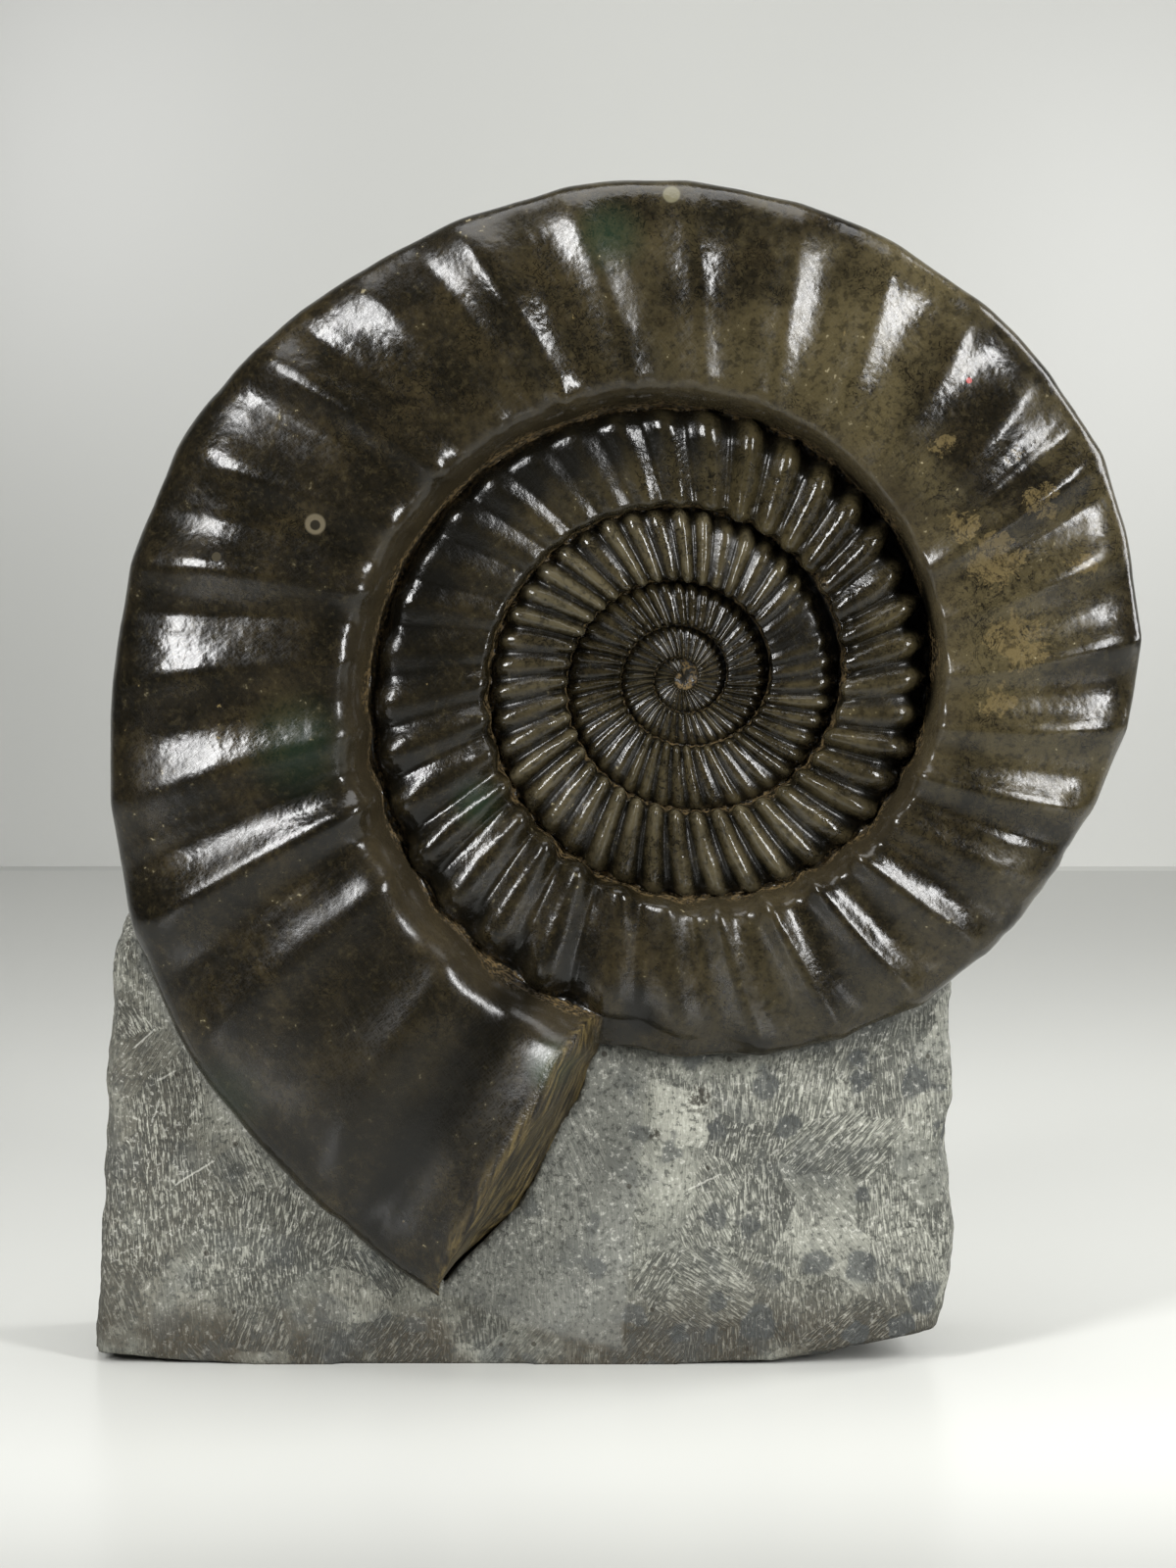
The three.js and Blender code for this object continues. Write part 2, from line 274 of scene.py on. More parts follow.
    def turned(self, angle: Array, across: Array, depth: Array) -> Array:
        """Turns points on a column, which leans with the ribs and the mouth.

        Args:
            angle: The column's angle at the seam.
            across: The share of the whorl's width.
            depth: The depth from the middle plane, negative on the show side.

        Returns:
            The points' true angles, in radians.
        """
        mouth = self.at_mouth(angle)
        lean = blend(self.rib_sweep, self.mouth_tilt, mouth) * across
        share = depth / self.half_thickness(angle)
        slope = mouth * (self.mouth_slope * (1.0 + share) - self.retreat(across, share))
        return np.radians(angle + lean + slope)

    def retreat(self, across: Array, share: Array) -> Array:
        """Narrows the break near the outer edge.

        Args:
            across: The share of the whorl's width.
            share: The depth as a share of half the thickness, negative on the show side.

        Returns:
            How far the break stays short of the solid's plain slope, in degrees.
        """
        over = np.clip(share - self.tip_share, 0.0, 1.0 - self.tip_share)
        return self.mouth_slope * over * ease((across - self.tip_start) / (1.0 - self.tip_start))


@dataclass(frozen=True)
class WornPatch:
    """A place where ribs are rubbed down: its middle and half its length along the coil, and what is left."""

    angle: float
    half_length: float
    left: float


class Sketch:
    """Places and links shader nodes in one tree."""

    def __init__(self, tree: bpy.types.NodeTree) -> None:
        """Starts on an empty tree."""
        self.tree = tree

    def node(self, kind: str, inputs: dict | None = None, **settings: object) -> bpy.types.Node:
        """Adds a node.

        Args:
            kind: The node's Blender type.
            inputs: Values or sockets for its inputs, by name or position.
            **settings: Properties of the node.

        Returns:
            The node.
        """
        made = self.tree.nodes.new(kind)
        for name, value in settings.items():
            setattr(made, name, value)
        for name, value in (inputs or {}).items():
            self.feed(made.inputs[name], value)
        return made

    def feed(self, socket: Socket, value: object) -> None:
        """Links a socket to an input, or sets the input's own value.

        Args:
            socket: The input.
            value: A socket, a number, a vector or a colour.
        """
        if isinstance(value, Socket):
            self.tree.links.new(value, socket)
        elif socket.type == "RGBA" and len(value) == 3:
            socket.default_value = (*value, 1.0)
        else:
            socket.default_value = value

    def math(self, operation: str, first: object, second: object = 0.0, clamp: bool = False) -> Socket:
        """Returns the result of a Math node."""
        inputs = {0: first, 1: second}
        return self.node("ShaderNodeMath", inputs, operation=operation, use_clamp=clamp).outputs[0]

    def times(self, *factors: object) -> Socket:
        """Returns the product of values."""
        return reduce(lambda first, second: self.math("MULTIPLY", first, second), factors)

    def total(self, *terms: object) -> Socket:
        """Returns the sum of values."""
        return reduce(lambda first, second: self.math("ADD", first, second), terms)

    def off_middle(self, texture: Socket) -> Socket:
        """Returns how far a texture lies from its middle value: winding lines where that is small."""
        return self.math("ABSOLUTE", self.math("SUBTRACT", texture, 0.5))

    def mix(self, share: object, first: object, second: object) -> Socket:
        """Mixes two colours.

        Args:
            share: How much of the second colour shows, 0 to 1.
            first: The first colour or its socket.
            second: The second colour or its socket.

        Returns:
            The mixed colour.
        """
        made = self.node("ShaderNodeMix", data_type="RGBA", clamp_factor=True)
        for socket, value in zip((made.inputs[0], made.inputs[6], made.inputs[7]), (share, first, second)):
            self.feed(socket, value)
        return made.outputs[2]

    def layered(self, colour: Socket, *layers: tuple[Socket, object]) -> Socket:
        """Returns a colour with layers over it in order, each given as how much it shows and its colour."""
        return reduce(lambda under, layer: self.mix(layer[0], under, layer[1]), layers, colour)

    def span(self, value: object, low: object, high: object, start: float = 0.0, end: float = 1.0) -> Socket:
        """Returns a value carried smoothly from the range low to high onto start to end."""
        inputs = {"Value": value, "From Min": low, "From Max": high, "To Min": start, "To Max": end}
        return self.node("ShaderNodeMapRange", inputs, interpolation_type="SMOOTHSTEP").outputs[0]

    def shade(self, value: object, stops: tuple[tuple[float, Colour], ...]) -> Socket:
        """Colours a value by a ramp.

        Args:
            value: The value, 0 to 1.
            stops: Positions on the ramp and their colours.

        Returns:
            The colour.
        """
        made = self.node("ShaderNodeValToRGB", {0: value})
        ramp = made.color_ramp
        while len(ramp.elements) < len(stops):
            ramp.elements.new(1.0)
        for element, (position, colour) in zip(ramp.elements, stops):
            element.position = position
            element.color = (*colour, 1.0)
        return made.outputs[0]

    def noise(self, vector: object, scale: object, detail: float = 4.0, rough: float = 0.55,
              distort: float = 0.0) -> Socket:
        """Returns the value of a noise texture with that many waves to the metre."""
        inputs = dict(Vector=vector, Scale=scale, Detail=detail, Roughness=rough, Distortion=distort)
        return self.node("ShaderNodeTexNoise", inputs).outputs["Fac"]

    def vector(self, operation: str, first: object, second: object, result: str = "Vector") -> Socket:
        """Returns the vector, or by its name the value, of a Vector Math node."""
        return self.node("ShaderNodeVectorMath", {0: first, 1: second}, operation=operation).outputs[result]

    def moved(self, place: object, texture: Socket, reach: Point) -> Socket:
        """Returns coordinates that are moved by a texture, as far as the reach each way."""
        inputs = {0: texture, 1: reach, 2: place}
        return self.node("ShaderNodeVectorMath", inputs, operation="MULTIPLY_ADD").outputs[0]

    def turned(self, place: object, tilt: float, scale: Point) -> Socket:
        """Turns coordinates about the depth and stretches them.

        Args:
            place: The coordinates.
            tilt: The angle, in degrees.
            scale: The stretch each way.

        Returns:
            The new coordinates.
        """
        inputs = {"Vector": place, "Rotation": (0.0, math.radians(tilt), 0.0)}
        spun = self.node("ShaderNodeVectorRotate", inputs, rotation_type="EULER_XYZ")
        return self.vector("MULTIPLY", spun.outputs[0], scale)

    def parted(self, vector: object) -> tuple[Socket, ...]:
        """Returns a vector's X, Y and Z."""
        return tuple(self.node("ShaderNodeSeparateXYZ", {0: vector}).outputs)

    def place(self) -> Socket:
        """Returns the coordinates in the specimen's frame, in metres."""
        return self.node("ShaderNodeTexCoord").outputs["Object"]

    def painted(self, name: str) -> Socket:
        """Returns a value that is stored on the mesh's vertices."""
        return self.node("ShaderNodeAttribute", attribute_name=name).outputs["Fac"]

    def bump(self, height: Socket, strength: float, millimetres: float) -> Socket:
        """Returns normals for a fine relief that is so many millimetres high where its height is 1."""
        inputs = {"Height": height, "Strength": strength, "Distance": millimetres * MM}
        return self.node("ShaderNodeBump", inputs).outputs[0]

    def group(self, tree: bpy.types.NodeTree, inputs: dict, result: str = "Mask") -> Socket:
        """Returns an output of a node group placed with those inputs."""
        return self.node("ShaderNodeGroup", inputs, node_tree=tree).outputs[result]


class SharedEffects:
    """Node groups that both the shell and the stone use."""

    grain_fineness: float = 14.0
    empty_cells: float = 0.62
    ragged_fineness: float = 2.6

    def __init__(self) -> None:
        """Builds each group once."""
        self.mottle = self._mottle()
        self.spot = self._spot()
        self.strokes = self._strokes()
        self.pits = self._pits()
        self.line = self._line()

    @staticmethod
    def _start(name: str, vectors: tuple[str, ...], numbers: tuple[str, ...],
               outputs: tuple[str, ...] = ("Mask",)) -> tuple[Sketch, list[Socket], bpy.types.Node]:
        """Opens a group.

        Args:
            name: The group's name.
            vectors: Names of the inputs that are vectors.
            numbers: Names of the inputs that are numbers, which follow them.
            outputs: Names of the outputs, all numbers.

        Returns:
            The sketch, its inputs in order and the output node.
        """
        tree = bpy.data.node_groups.new(name, "ShaderNodeTree")
        sides = ((vectors, "INPUT", "Vector"), (numbers, "INPUT", "Float"), (outputs, "OUTPUT", "Float"))
        for names, way, kind in sides:
            for socket in names:
                tree.interface.new_socket(socket, in_out=way, socket_type=f"NodeSocket{kind}")
        sketch = Sketch(tree)
        entry = sketch.node("NodeGroupInput")
        return sketch, [entry.outputs[socket] for socket in vectors + numbers], sketch.node("NodeGroupOutput")

    def _mottle(self) -> bpy.types.NodeTree:
        """Draws broad clouds and fine grain in stone.

        Returns:
            The group.
        """
        sketch, (place, scale), leave = self._start("mottle", ("Vector",), ("Scale",), ("Broad", "Fine"))
        sketch.feed(leave.inputs["Broad"], sketch.noise(place, scale, 5.0, 0.62))
        fine = sketch.noise(place, sketch.times(scale, self.grain_fineness), 3.0, 0.6)
        sketch.feed(leave.inputs["Fine"], fine)
        return sketch.tree

    def _spot(self) -> bpy.types.NodeTree:
        """Draws a soft round mask about a point.

        Returns:
            The group.
        """
        inputs = ("Vector", "Centre"), ("Radius", "Edge")
        sketch, (place, centre, radius, edge), leave = self._start("spot", *inputs)
        away = sketch.vector("DISTANCE", place, centre, "Value")
        past = sketch.math("SUBTRACT", away, sketch.math("SUBTRACT", radius, edge))
        share = sketch.math("DIVIDE", past, edge, clamp=True)
        sketch.feed(leave.inputs["Mask"], sketch.span(share, 1.0, 0.0))
        return sketch.tree

    def _strokes(self) -> bpy.types.NodeTree:
        """Draws short parallel strokes; the vector comes stretched along them.

        Returns:
            The group.
        """
        sketch, (place, sharpness), leave = self._start("strokes", ("Vector",), ("Sharpness",), ("Height",))
        ridge = sketch.times(sketch.off_middle(sketch.noise(place, 1.0, 2.0, 0.5)), 2.0)
        height = sketch.math("POWER", sketch.math("SUBTRACT", 1.0, ridge), sharpness)
        sketch.feed(leave.inputs["Height"], height)
        return sketch.tree

    def _pits(self) -> bpy.types.NodeTree:
        """Scatters small ragged pits.

        Returns:
            The group.
        """
        sketch, (place, scale, size), leave = self._start("pits", ("Vector",), ("Scale", "Size"))
        cells = sketch.node("ShaderNodeTexVoronoi", {"Vector": place, "Scale": scale})
        chance = sketch.node("ShaderNodeSeparateColor", {0: cells.outputs["Color"]}).outputs[0]
        ragged = sketch.noise(place, sketch.times(scale, self.ragged_fineness), 1.0, 0.6)
        reach = sketch.times(size, sketch.total(sketch.times(ragged, 1.6), 0.2))
        hollow = sketch.span(cells.outputs["Distance"], reach, sketch.times(reach, 0.7))
        seldom = sketch.math("GREATER_THAN", chance, self.empty_cells)
        sketch.feed(leave.inputs["Mask"], sketch.times(seldom, hollow))
        return sketch.tree

    def _line(self) -> bpy.types.NodeTree:
        """Draws a mask along one straight scratch.

        Returns:
            The group.
        """
        inputs = ("Vector", "Start", "Along"), ("Width",)
        sketch, (place, start, along, width), leave = self._start("line", *inputs)
        away = sketch.vector("SUBTRACT", place, start)
        reach = sketch.vector("DOT_PRODUCT", away, along, "Value")
        whole = sketch.vector("DOT_PRODUCT", along, along, "Value")
        share = sketch.math("DIVIDE", reach, whole, clamp=True)
        foot = sketch.node("ShaderNodeVectorMath", {0: along, "Scale": share}, operation="SCALE").outputs[0]
        off = sketch.vector("DISTANCE", away, foot, "Value")
        sketch.feed(leave.inputs["Mask"], sketch.span(off, width, sketch.times(width, 0.4)))
        return sketch.tree


def new_material(name: str) -> tuple[bpy.types.Material, Sketch, bpy.types.Node]:
    """Opens a material.

    Args:
        name: The material's name.

    Returns:
        The material, a sketch of its nodes and its Principled shader.
    """
    material = bpy.data.materials.new(name)
    material.use_nodes = True
    tree = material.node_tree
    return material, Sketch(tree), next(n for n in tree.nodes if n.type == "BSDF_PRINCIPLED")


def on_show_side(axis: Vector, right: float, up: float) -> Point:
    """Returns the point at offsets from the coil axis in millimetres, without depth."""
    return axis.x + right * MM, 0.0, axis.z + up * MM


@dataclass(frozen=True)
class Stain:
    """A tint on the show side: offsets from the coil axis and radius in millimetres, colour and strength."""

    right: float
    up: float
    radius: float
    colour: Colour
    strength: float
    small: float = 8.0
    small_edge: float = 0.25
    broad_edge: float = 0.95

    def mask(self, sketch: Sketch, effects: SharedEffects, flat: Socket, axis: Vector) -> Socket:
        """Finds where the stain lies.

        Args:
            sketch: The material's nodes.
            effects: The shared node groups.
            flat: The coordinates, without depth.
            axis: The coil axis's point.

        Returns:
            The mask.
        """
        centre, radius = on_show_side(axis, self.right, self.up), self.radius * MM
        edge = radius * (self.small_edge if self.radius < self.small else self.broad_edge)
        return sketch.group(effects.spot, {"Vector": flat, "Centre": centre, "Radius": radius, "Edge": edge})


@dataclass(frozen=True)
class Scratch:
    """A pale line scored in the show side: its two ends as offsets from the coil axis, in millimetres."""

    start: tuple[float, float]
    end: tuple[float, float]
    half_width: float = 0.5

    def mask(self, sketch: Sketch, effects: SharedEffects, flat: Socket, axis: Vector) -> Socket:
        """Finds where the line runs.

        Args:
            sketch: The material's nodes.
            effects: The shared node groups.
            flat: The coordinates, without depth.
            axis: The coil axis's point.

        Returns:
            The mask.
        """
        start, end = on_show_side(axis, *self.start), on_show_side(axis, *self.end)
        along = Vector(end) - Vector(start)
        inputs = {"Vector": flat, "Start": start, "Along": along, "Width": self.half_width * MM}
        return sketch.group(effects.line, inputs)


@dataclass(frozen=True)
class PolishedShell:
    """The shell's finish: dark olive-brown, ground and polished, with crust left in the seams, painted shade
    in the clefts and valleys and painted light on the shoulder wall and crests.
    """

    darkest: Colour = srgb(8, 7, 4)
    body: Colour = srgb(25, 21, 12)
    lighter: Colour = srgb(48, 41, 25)
    olive: Colour = srgb(78, 70, 47)
    # Painted sheen: a silvery tint on the crests of the third turn.
    painted_crest_sheen: Colour = srgb(132, 124, 100)
    crust: Colour = srgb(104, 86, 53)
    crust_dark: Colour = srgb(22, 18, 11)
    break_tan: Colour = srgb(62, 53, 32)
    break_gold: Colour = srgb(104, 90, 55)
    suture: Colour = srgb(20, 17, 12)
    suture_gold: Colour = srgb(100, 87, 57)
    fleck: Colour = srgb(165, 155, 125)
    # Painted shade: near-black laid in the clefts and shaded hollows of the inner turns.
    painted_cleft_shade: Colour = srgb(9, 8, 5)
    # Painted light on the last turn's shoulder wall, which faces the coil axis.
    wall: Colour = srgb(62, 55, 41)
    clouds_per_metre: float = 38.0
    patches_per_metre: float = 14.0
    hazes_per_metre: float = 28.0
    grains_per_metre: float = 300.0
    crumbs_per_metre: float = 480.0
    scuffs_per_metre: float = 230.0
    waves_per_metre: float = 70.0
    wrinkles_per_metre: float = 150.0
    frills_per_metre: float = 60.0
    tears_per_metre: float = 80.0
    break_streaks: Point = (340.0, 340.0, 45.0)
    break_tilt: float = -20.0
    scratch_ways: tuple[tuple[float, Point], ...] = (
        (35.0, (900.0, 900.0, 60.0)), (-50.0, (1000.0, 1000.0, 70.0)),
    )
    scratch_sharpness: float = 9.0
    # The upper right's olive: partly the shell's tint, partly painted sheen from the right light.
    olive_and_sheen_right: tuple[float, float] = (-0.13, 0.13)
    olive_and_sheen_up: tuple[float, float] = (-0.16, 0.08)
    inner_turns: tuple[float, float] = (0.9, 2.0)
    worked_turns: tuple[float, float] = (0.7, 1.4)
    crest_sheen_from: tuple[float, float] = (1.55, 2.0)
    crest_sheen_until: tuple[float, float] = (3.2, 2.7)
    # Painted shade in the valley behind the mouth rises and falls over these turns back from the mouth.
    valley_shade_from: tuple[float, float] = (0.016, 0.03)
    valley_shade_until: tuple[float, float] = (0.05, 0.036)
    dull_from: float = 0.16
    dull_to: float = 0.08
    gloss: float = 0.33
    bump_strength: float = 0.8
    bump_millimetres: float = 1.2
    suture_middle: Point = (128.0, -35.0, 55.0)
    suture_reach: tuple[float, float] = (0.11, 0.07)
    gold_patches: tuple[Point, ...] = (
        (115.0, 64.6, 7.0), (128.0, 50.0, 12.0), (138.0, 18.0, 12.0), (106.0, 98.0, 5.0), (137.0, 92.0, 6.0),
        (147.0, 74.0, 9.0), (166.0, 50.0, 7.0), (130.0, -8.0, 7.0),
    )
    stains: tuple[Stain, ...] = (
        Stain(-160.0, -26.0, 28.0, srgb(22, 44, 30), 0.4),
        Stain(-86.0, -51.0, 15.0, srgb(22, 46, 32), 0.45),
        Stain(-54.0, -158.0, 15.0, srgb(58, 74, 56), 0.6),
        Stain(-194.0, -176.0, 26.0, srgb(36, 44, 32), 0.5),
        Stain(-120.0, -165.0, 70.0, srgb(23, 20, 12), 0.6),
        Stain(-32.0, 183.0, 20.0, srgb(28, 52, 38), 0.4),
        Stain(117.0, 124.0, 1.4, srgb(150, 34, 30), 0.9),
        Stain(-5.6, 200.5, 4.0, srgb(112, 108, 86), 0.6),
        Stain(-152.0, 65.0, 4.8, srgb(104, 96, 78), 0.7),
        Stain(-152.0, 64.6, 2.4, srgb(20, 18, 13), 0.9),
        Stain(-192.7, 51.6, 3.6, srgb(22, 20, 15), 0.7),
        Stain(-192.7, 51.6, 2.2, srgb(60, 55, 42), 0.7),
    )

    def build(self, effects: SharedEffects, axis: Vector) -> bpy.types.Material:
        """Builds the material.

        Args:
            effects: The shared node groups.
            axis: The coil axis's point on the middle plane, in metres.

        Returns:
            The material.
        """
        material, sketch, shader = new_material("polished_ammonite")
        painter = ShellPainter(self, sketch, effects, axis)
        colour = painter.seams(painter.marks(painter.sutures(painter.ground())))
        sketch.feed(shader.inputs["Base Color"], colour)
        sketch.feed(shader.inputs["Roughness"], painter.roughness())
        normal = sketch.bump(painter.height(), self.bump_strength, self.bump_millimetres)
        sketch.feed(shader.inputs["Normal"], normal)
        shader.inputs["Specular IOR Level"].default_value = self.gloss
        return material


class ShellPainter:
    """Lays the shell's finish: the masks and textures that it shares, then its colour, gloss and relief."""

    def __init__(self, finish: PolishedShell, sketch: Sketch, effects: SharedEffects, axis: Vector) -> None:
        """Reads the masks painted on the mesh and lays the textures.

        Args:
            finish: The finish's colours and sizes.
            sketch: The material's nodes.
            effects: The shared node groups.
            axis: The coil axis's point on the middle plane, in metres.
        """
        self.finish, self.sketch, self.effects, self.axis = finish, sketch, effects, axis
        self.place = sketch.place()
        self.x, self.y, self.z = sketch.parted(self.place)
        # The cleft mask carries painted shade, and the wall mask painted light on the shoulder wall.
        masks = (sketch.painted(name) for name in ("rib", "turn", "broken", "cleft", "wall", "seam"))
        self.rib, self.turn, self.broken, self.cleft, self.wall, seam = masks
        clouds = {"Vector": self.place, "Scale": finish.clouds_per_metre}
        self.broad = sketch.group(effects.mottle, clouds, "Broad")
        self.fine = sketch.group(effects.mottle, clouds, "Fine")
        self.patches = sketch.noise(self.place, finish.patches_per_metre, 4.0, 0.6)
        self.cloudy = sketch.noise(self.place, finish.hazes_per_metre, 3.0, 0.6)
        self.grain = sketch.noise(self.place, finish.grains_per_metre, 3.0, 0.65)
        self.crumbs = sketch.noise(self.place, finish.crumbs_per_metre, 2.0, 0.7)
        self.inner = sketch.span(self.turn, *finish.inner_turns)
        # Painted shade: the valleys between the inner turns' ribs are darkened in the colour.
        self.valleys = sketch.times(self.inner, sketch.span(self.rib, 0.5, 0.1))
        closed = sketch.math("SUBTRACT", 1.0, sketch.times(self.cleft, 0.7))
        self.crust = sketch.span(sketch.times(seam, closed, sketch.span(self.crumbs, 0.44, 0.54)), 0.1, 0.6)

    def ground(self) -> Socket:
        """Lays the shell's colours: clouded brown, olive on the upper right that is partly painted sheen,
        paler crests on the inner turns that are partly painted sheen, and painted shade in their valleys.

        Returns:
            The colour.
        """
        sketch, finish, patches, turn = self.sketch, self.finish, self.patches, self.turn
        right = sketch.span(self.x, *(self.axis.x + edge for edge in finish.olive_and_sheen_right))
        upper = sketch.span(self.z, *(self.axis.z + edge for edge in finish.olive_and_sheen_up), 0.5, 1.0)
        crests = sketch.times(sketch.span(self.rib, 0.3, 1.0), sketch.span(patches, 0.3, 0.6), 0.18)
        begun, ended = sketch.span(turn, *finish.crest_sheen_from), sketch.span(turn, *finish.crest_sheen_until)
        bright = sketch.span(patches, 0.4, 0.6, 0.03, 0.2)
        return sketch.layered(
            sketch.shade(self.broad, ((0.28, finish.darkest), (0.5, finish.body), (0.74, finish.lighter))),
            # Olive on the upper right: partly the shell's tint, partly painted sheen.
            (sketch.times(right, upper, sketch.span(patches, 0.36, 0.6), 0.8), finish.olive),
            (sketch.times(self.inner, 0.2), finish.lighter),
            # Olive on the inner crests: partly golden tint, partly painted sheen.
            (sketch.times(self.inner, crests), finish.olive),
            # Painted sheen on the third turn's crests.
            (sketch.times(begun, ended, sketch.span(self.rib, 0.2, 1.0), bright), finish.painted_crest_sheen),
            # Painted shade in the valleys between the inner turns' ribs.
            (sketch.times(self.valleys, 0.85), finish.darkest),
        )

    def sutures(self, colour: Socket) -> Socket:
        """Draws the frilled suture lines and their gold patches on the right of the last turn.

        Args:
            colour: The colour so far.

        Returns:
            The colour with the sutures.
        """
        sketch, finish, place = self.sketch, self.finish, self.place
        radius, edge = finish.suture_reach
        middle = self.axis + Vector(finish.suture_middle) * MM
        inputs = {"Vector": place, "Centre": middle, "Radius": radius, "Edge": edge}
        region = sketch.group(self.effects.spot, inputs)
        tears = sketch.noise(place, finish.tears_per_metre, 4.0, 0.75, 1.6)
        ragged = sketch.times(sketch.math("SUBTRACT", tears, 0.5), 3.0)
        for right, up, size in finish.gold_patches:
            centre = self.axis + Vector((right, finish.suture_middle[1], up)) * MM
            inputs = {"Vector": place, "Centre": centre, "Radius": 2.0 * size * MM, "Edge": 1.9 * size * MM}
            torn = sketch.total(sketch.group(self.effects.spot, inputs), ragged)
            colour = sketch.mix(sketch.span(torn, 0.66, 0.71, 0.0, 0.6), colour, finish.suture_gold)
        frills = sketch.noise(place, finish.frills_per_metre, 4.0, 0.74, 2.0)
        line = sketch.span(sketch.off_middle(frills), 0.016, 0.006)
        return sketch.mix(sketch.times(line, region, 0.85), colour, finish.suture)

    def marks(self, colour: Socket) -> Socket:
        """Lays flecks, specks and scuffs all over, and single stains on the show side.

        Args:
            colour: The colour so far.

        Returns:
            The colour with the marks.
        """
        sketch, finish, grain, cloudy = self.sketch, self.finish, self.grain, self.cloudy
        flecks = sketch.times(sketch.span(grain, 0.67, 0.72), sketch.span(cloudy, 0.48, 0.65), 0.7)
        line = sketch.off_middle(sketch.noise(self.place, finish.scuffs_per_metre, 2.0, 0.6, 1.3))
        scuffs = sketch.times(sketch.span(line, 0.034, 0.014), sketch.span(cloudy, 0.54, 0.42), 0.8)
        front = sketch.math("LESS_THAN", self.y, self.axis.y)
        flat = sketch.vector("MULTIPLY", self.place, (1.0, 0.0, 1.0))
        stains = ((stain.mask(sketch, self.effects, flat, self.axis), stain) for stain in finish.stains)
        return sketch.layered(
            colour,
            (flecks, finish.fleck),
            (sketch.span(grain, 0.5, 0.36, 0.0, 0.5), finish.darkest),
            (sketch.span(grain, 0.53, 0.66, 0.0, 0.14), finish.olive),
            (sketch.span(self.fine, 0.55, 0.7, 0.0, 0.4), finish.darkest),
            (scuffs, finish.darkest),
            *((sketch.times(mask, front, stain.strength), stain.colour) for mask, stain in stains),
        )

    def seams(self, colour: Socket) -> Socket:
        """Lays painted light on the shoulder wall, painted shade in the clefts and hollows, the crust, the
        break and painted shade in the valley behind the mouth.

        Args:
            colour: The colour so far.

        Returns:
            The whole colour.
        """
        sketch, finish, turn = self.sketch, self.finish, self.turn
        along = sketch.turned(self.place, finish.break_tilt, finish.break_streaks)
        broken = ((0.38, finish.crust_dark), (0.5, finish.break_tan), (0.64, finish.break_gold))
        crust = ((0.4, finish.crust_dark), (0.6, finish.crust))
        hollow = sketch.times(sketch.span(turn, *finish.valley_shade_from), sketch.span(turn, *finish.valley_shade_until))
        return sketch.layered(
            colour,
            # Painted light on the last turn's shoulder wall.
            (sketch.times(self.wall, 0.6), finish.wall),
            # Painted shade in the clefts, on the shaded side of the second turn and between its ribs.
            (sketch.span(self.cleft, 0.1, 0.6, 0.0, 0.95), finish.painted_cleft_shade),
            (sketch.times(self.crust, 0.9), sketch.shade(self.crumbs, crust)),
            (sketch.times(self.broken, 0.9), sketch.shade(sketch.noise(along, 1.0, 3.0, 0.65), broken)),
            # Painted shade in the valley behind the mouth.
            (sketch.times(hollow, 0.8), finish.darkest),
        )

    def roughness(self) -> Socket:
        """Dulls the polish with haze and fine scratches, and in the valleys, clefts, crust and break.

        Returns:
            The roughness.
        """
        sketch, finish = self.sketch, self.finish
        heights = []
        for tilt, stretch in finish.scratch_ways:
            along = sketch.turned(self.place, tilt, stretch)
            inputs = {"Vector": along, "Sharpness": finish.scratch_sharpness}
            heights.append(sketch.group(self.effects.strokes, inputs, "Height"))
        rough = sketch.total(
            sketch.span(self.cloudy, 0.35, 0.7, 0.09, 0.2),
            sketch.times(sketch.math("MAXIMUM", *heights), 0.14),
            sketch.span(self.turn, finish.dull_from, finish.dull_to, 0.0, 0.05),
            sketch.times(self.crust, 0.45),
            sketch.span(self.cleft, 0.85, 1.0, 0.0, 0.9),
            sketch.times(self.valleys, 0.15),
            sketch.times(self.inner, -0.05),
            sketch.times(self.broken, 0.2),
        )
        return sketch.math("MINIMUM", rough, 1.0)

    def height(self) -> Socket:
        """Raises soft waves and wrinkles, calmer near the mouth, and grit on the crust and the break.

        Returns:
            The fine relief's height.
        """
        sketch, finish = self.sketch, self.finish
        lively = sketch.span(self.turn, finish.dull_to, finish.dull_from, 0.3, 1.0)
        waves = sketch.noise(self.place, finish.waves_per_metre, 3.0, 0.5)
        wrinkles = sketch.noise(self.place, finish.wrinkles_per_metre, 2.0, 0.5)
        worked = sketch.span(self.turn, *finish.worked_turns, 0.06, 0.18)
        gritty = sketch.math("MAXIMUM", worked, sketch.math("MAXIMUM", self.crust, self.broken))
        return sketch.total(
            sketch.times(waves, lively, 0.35),
            sketch.times(wrinkles, lively, 0.32),
            sketch.times(gritty, self.crumbs),
        )


